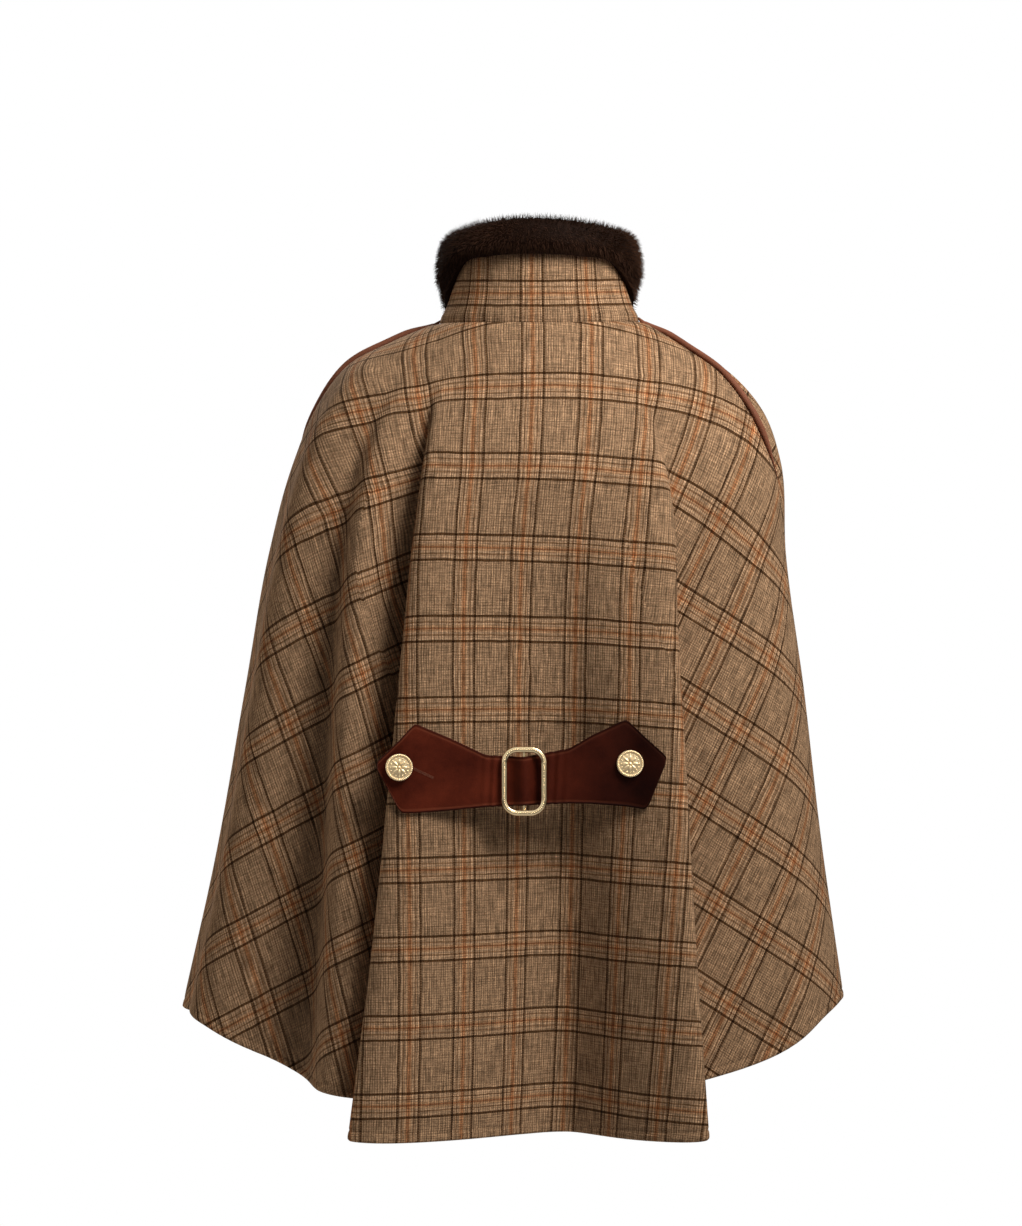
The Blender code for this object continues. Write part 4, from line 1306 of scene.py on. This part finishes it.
def makeRingTree():
    sizes = {"Count": "Int", "Ring radius": "Float", "Grain size": "Vector", "Slant": "Float",
             "Finish": "Material"}
    tree, sizeOf, out = nodeTree("grains_round_a_ring", sizes)
    circle = {"Resolution": sizeOf["Count"], "Radius": sizeOf["Ring radius"]}
    ring = addNode(tree, "GeometryNodeCurvePrimitiveCircle", circle, mode="RADIUS").outputs[0]
    points = addNode(tree, "GeometryNodeCurveToPoints", {"Curve": ring}, mode="EVALUATED").outputs["Points"]
    place = {"Vector": addNode(tree, "GeometryNodeInputPosition").outputs[0]}
    turn = addNode(tree, "FunctionNodeAlignRotationToVector", place, axis="X", pivot_axis="Z").outputs[0]
    slant = addNode(tree, "ShaderNodeCombineXYZ", {"Z": sizeOf["Slant"]}).outputs[0]
    turns = {0: turn, 1: addNode(tree, "FunctionNodeEulerToRotation", {0: slant}).outputs[0]}
    turn = addNode(tree, "FunctionNodeRotateRotation", turns, rotation_space="LOCAL").outputs[0]
    laid = layOn(tree, points, grain(tree, 10, 7, sizeOf["Grain size"]), Rotation=turn)
    return endTree(tree, out, laid, sizeOf["Finish"])


ringTree = makeRingTree()


def discMesh(name, profile, sides, finish):
    turn = np.linspace(0, 2 * math.pi, sides, endpoint=False)
    points, faces, rings = [], [], []
    for radius, height in profile:
        if radius == 0.0:
            rings.append([len(points)])
            points.append((0.0, 0.0, height))
        else:
            rings.append(list(range(len(points), len(points) + sides)))
            ring = radius * np.cos(turn), radius * np.sin(turn), np.full(sides, height)
            points += np.stack(ring, axis=1).tolist()
    for here, there in zip(rings, rings[1:]):
        for j in range(sides):
            k = (j + 1) % sides
            if len(here) == 1:
                faces.append((here[0], there[k], there[j]))
            elif len(there) == 1:
                faces.append((here[j], here[k], there[0]))
            else:
                faces.append((here[j], here[k], there[k], there[j]))
    return makeMesh(name, points, faces, finish)


def makeButton(side):
    node = "button_" + side
    low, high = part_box(node)
    middle = (low + high) / 2
    step = button["tiltStep"]
    across = [castOn(beltSurface, middle.x + sign * step, middle.z) for sign in (-1, 1)]
    upright = [castOn(beltSurface, middle.x, middle.z + sign * step) for sign in (-1, 1)]
    outward = (upright[1] - upright[0]).cross(across[1] - across[0]).normalized()
    if outward.y < 0:
        outward = -outward
    pieces = [discMesh(node + "_disc", button["profile"], button["sides"], buttonFinish)]
    for name, count, radius, slant, size, height in button["reliefs"]:
        host = lineHost(node + "_" + name + "_host", [button["start"]])
        relief = growOn(host, ringTree, node + "_" + name, {
            "Count": count, "Ring radius": radius, "Slant": slant, "Grain size": size,
            "Finish": buttonFinish})
        relief.data.transform(Matrix.Translation((0.0, 0.0, height)))
        pieces.append(relief)
    boss = growOn(lineHost(node + "_boss_host", [button["start"]]), beadTree, node + "_boss", {
        "Spacing": 1.0, "Bead radius": button["boss"], "Finish": buttonFinish})
    boss.data.transform(Matrix.Translation((0.0, 0.0, button["bossHeight"])))
    piece = joinMeshes(node + "_struck", pieces + [boss])
    turn = outward.to_track_quat("Z", "Y").to_matrix().to_4x4()
    turn.translation = castOn(beltSurface, middle.x, middle.z) + outward * panel["layGap"]
    piece.data.transform(turn)
    dress(piece, "gilt", node)


makeButton("left")
makeButton("right")
print("buckle and buttons struck")

# sewing: thread laid stitch by stitch
sewing = {
    "thread": 0.00028,
    "stitch": 0.0026,
    "spacing": 0.0038,
    "brown": (0.11, 0.060, 0.033),
    "redBrown": (0.12, 0.035, 0.016),
    "paler": 1.6,
    "drops": (0.012, 0.285),
    "stations": 120,
    "besideSeam": 0.0052,
    "proud": 0.00012,
}
buttonhole = {
    "start": np.array((0.1105, -0.4075)),  # x, z
    "end": np.array((0.0915, -0.4165)),
    "bars": 26,
    "halfWidth": 0.00088,
    "spacing": 0.00055,
    "stitch": 0.0009,
    "thread": 0.000252,
}


def makeThread(name, tone):
    finish, tree, shader = newFinish(name)
    twist = noise(tree, objectPlace(tree), 2500.0, 2.0)
    pale = [min(1.0, sewing["paler"] * part) for part in tone]
    shown = blendColour(tree, "MIX", twist, colour(*tone), colour(*pale))
    tree.links.new(shown, shader.inputs["Base Color"])
    shader.inputs["Roughness"].default_value = 0.7
    return finish


def makeStitchTree():
    sizes = {"Spacing": "Float", "Stitch size": "Vector", "Finish": "Material"}
    tree, sizeOf, out = nodeTree("stitches_along_a_line", sizes)
    heading = {"Vector": addNode(tree, "GeometryNodeInputTangent").outputs[0]}
    turn = addNode(tree, "FunctionNodeAlignRotationToVector", heading, axis="X").outputs[0]
    sewn = layOn(tree, alongLine(tree, sizeOf), grain(tree, 6, 5, sizeOf["Stitch size"]), Rotation=turn)
    return endTree(tree, out, sewn, sizeOf["Finish"])


brownThread = makeThread("brown_thread", sewing["brown"])
redThread = makeThread("red_brown_thread", sewing["redBrown"])
stitchTree = makeStitchTree()


def sew(name, lines, look, finish):
    return growOn(lineHost(name + "_lines", lines), stitchTree, name, {
        "Spacing": look["spacing"], "Stitch size": (look["stitch"] / 2, look["thread"], look["thread"]),
        "Finish": finish})


def makeShoulderStitches():
    drops = np.linspace(*sewing["drops"], sewing["stations"])
    lines = []
    for side in ("left", "right"):
        seam = seamAngle(side, drops)
        for sign in (-1, 1):
            angle = seam + sign * angleFor(sewing["besideSeam"], drops, seam)
            lines.append(capePoint(drops, angle) + capeNormal(drops, angle) * sewing["proud"])
    dress(sew("shoulder_stitches", lines, sewing, brownThread), "tweed")


def makeButtonhole():
    # a worked slit in the left tab, running in from the button
    start, end = buttonhole["start"], buttonhole["end"]
    aside = unit(np.array((end[1] - start[1], start[0] - end[0]))) * buttonhole["halfWidth"]
    bars = []
    for place in start + (end - start) * np.linspace(0, 1, buttonhole["bars"])[:, None]:
        ends = [castOn(beltSurface, *(place + aside * sign)) for sign in (-1, 1)]
        bars.append([(point.x, point.y + sewing["proud"], point.z) for point in ends])
    dress(sew("buttonhole_stitches", bars, buttonhole, redThread), "leather")


makeShoulderStitches()
makeButtonhole()
print("sewing done")

# camera at the photograph's place, level and straight on to the back
view = {
    "place": (0.020, 3.75, -0.265),
    "degrees": (90, 0, 180),
    "sensor": 36,
    "focalPixels": 3913,
    "photoHeight": 1226,
}
cameraData = bpy.data.cameras.new("camera")
cameraData.sensor_width = view["sensor"]
cameraData.lens = view["sensor"] * view["focalPixels"] / view["photoHeight"]
camera = bpy.data.objects.new("camera", cameraData)
camera.location = view["place"]
camera.rotation_euler = [math.radians(turn) for turn in view["degrees"]]
scene.collection.objects.link(camera)
scene.camera = camera

# pale floor and soft studio light
studio = {
    "floorZ": -1.45,
    "floorHalf": 30.0,
    "floorTone": (0.80, 0.80, 0.80),
    "floorSeen": 1.0,
    "aim": (0.0, 0.05, -0.35),
    "lights": (  # name, place, power, size, tint
        ("key", (-0.95, 1.05, 1.00), 37.0, 0.8, (1.0, 0.97, 0.93)),
        ("top", (-0.50, 0.80, 1.20), 4.0, 0.5, (1.0, 0.97, 0.93)),
        ("fill", (2.20, -0.40, 0.0), 12.0, 1.0, (1.0, 0.91, 0.80)),
        ("front", (0.80, -2.80, 1.20), 60.0, 1.6, (1.0, 0.98, 0.96)),
    ),
    "worldTint": (1.0, 0.93, 0.85),
    "worldLight": 0.012,
    "worldSeen": (  # by which rays, tint, strength
        ("Is Glossy Ray", (1.0, 0.97, 0.93), 0.75),
        ("Is Camera Ray", (1.0, 1.0, 1.0), 1.0),
    ),
}


def makeFloor():
    half, z = studio["floorHalf"], studio["floorZ"]
    finish, tree, shader = newFinish("pale_floor")
    shader.inputs["Base Color"].default_value = colour(*studio["floorTone"])
    shader.inputs["Roughness"].default_value = 0.9
    white = {"Color": colour(1.0, 1.0, 1.0), "Strength": studio["floorSeen"]}
    bright = addNode(tree, "ShaderNodeEmission", white).outputs[0]
    ray = addNode(tree, "ShaderNodeLightPath").outputs["Is Camera Ray"]
    seen = addNode(tree, "ShaderNodeMixShader", {0: ray, 1: shader.outputs[0], 2: bright}).outputs[0]
    tree.links.new(seen, tree.nodes["Material Output"].inputs["Surface"])
    corners = [(half * x, half * y, z) for x, y in ((-1, -1), (1, -1), (1, 1), (-1, 1))]
    makeMesh("floor", corners, [(0, 1, 2, 3)], finish)


def addLight(name, place, power, size, tint):
    data = bpy.data.lights.new(name, "AREA")
    data.energy, data.size, data.color = power, size, tint
    lamp = bpy.data.objects.new(name, data)
    lamp.location = place
    lamp.rotation_euler = (Vector(studio["aim"]) - Vector(place)).to_track_quat("-Z", "Y").to_euler()
    scene.collection.objects.link(lamp)


def makeWorld():
    world = bpy.data.worlds.new("studio")
    world.use_nodes = True
    tree = world.node_tree
    soft = tree.nodes["Background"]
    soft.inputs["Color"].default_value = colour(*studio["worldTint"])
    soft.inputs["Strength"].default_value = studio["worldLight"]
    ray = addNode(tree, "ShaderNodeLightPath")
    shown = soft.outputs[0]
    for kind, tint, strength in studio["worldSeen"]:
        look = {"Color": colour(*tint), "Strength": strength}
        other = addNode(tree, "ShaderNodeBackground", look).outputs[0]
        shown = addNode(tree, "ShaderNodeMixShader", {0: ray.outputs[kind], 1: shown, 2: other}).outputs[0]
    tree.links.new(shown, tree.nodes["World Output"].inputs["Surface"])
    scene.world = world


makeFloor()
for light in studio["lights"]:
    addLight(*light)
makeWorld()
scene.view_settings.view_transform = "Standard"
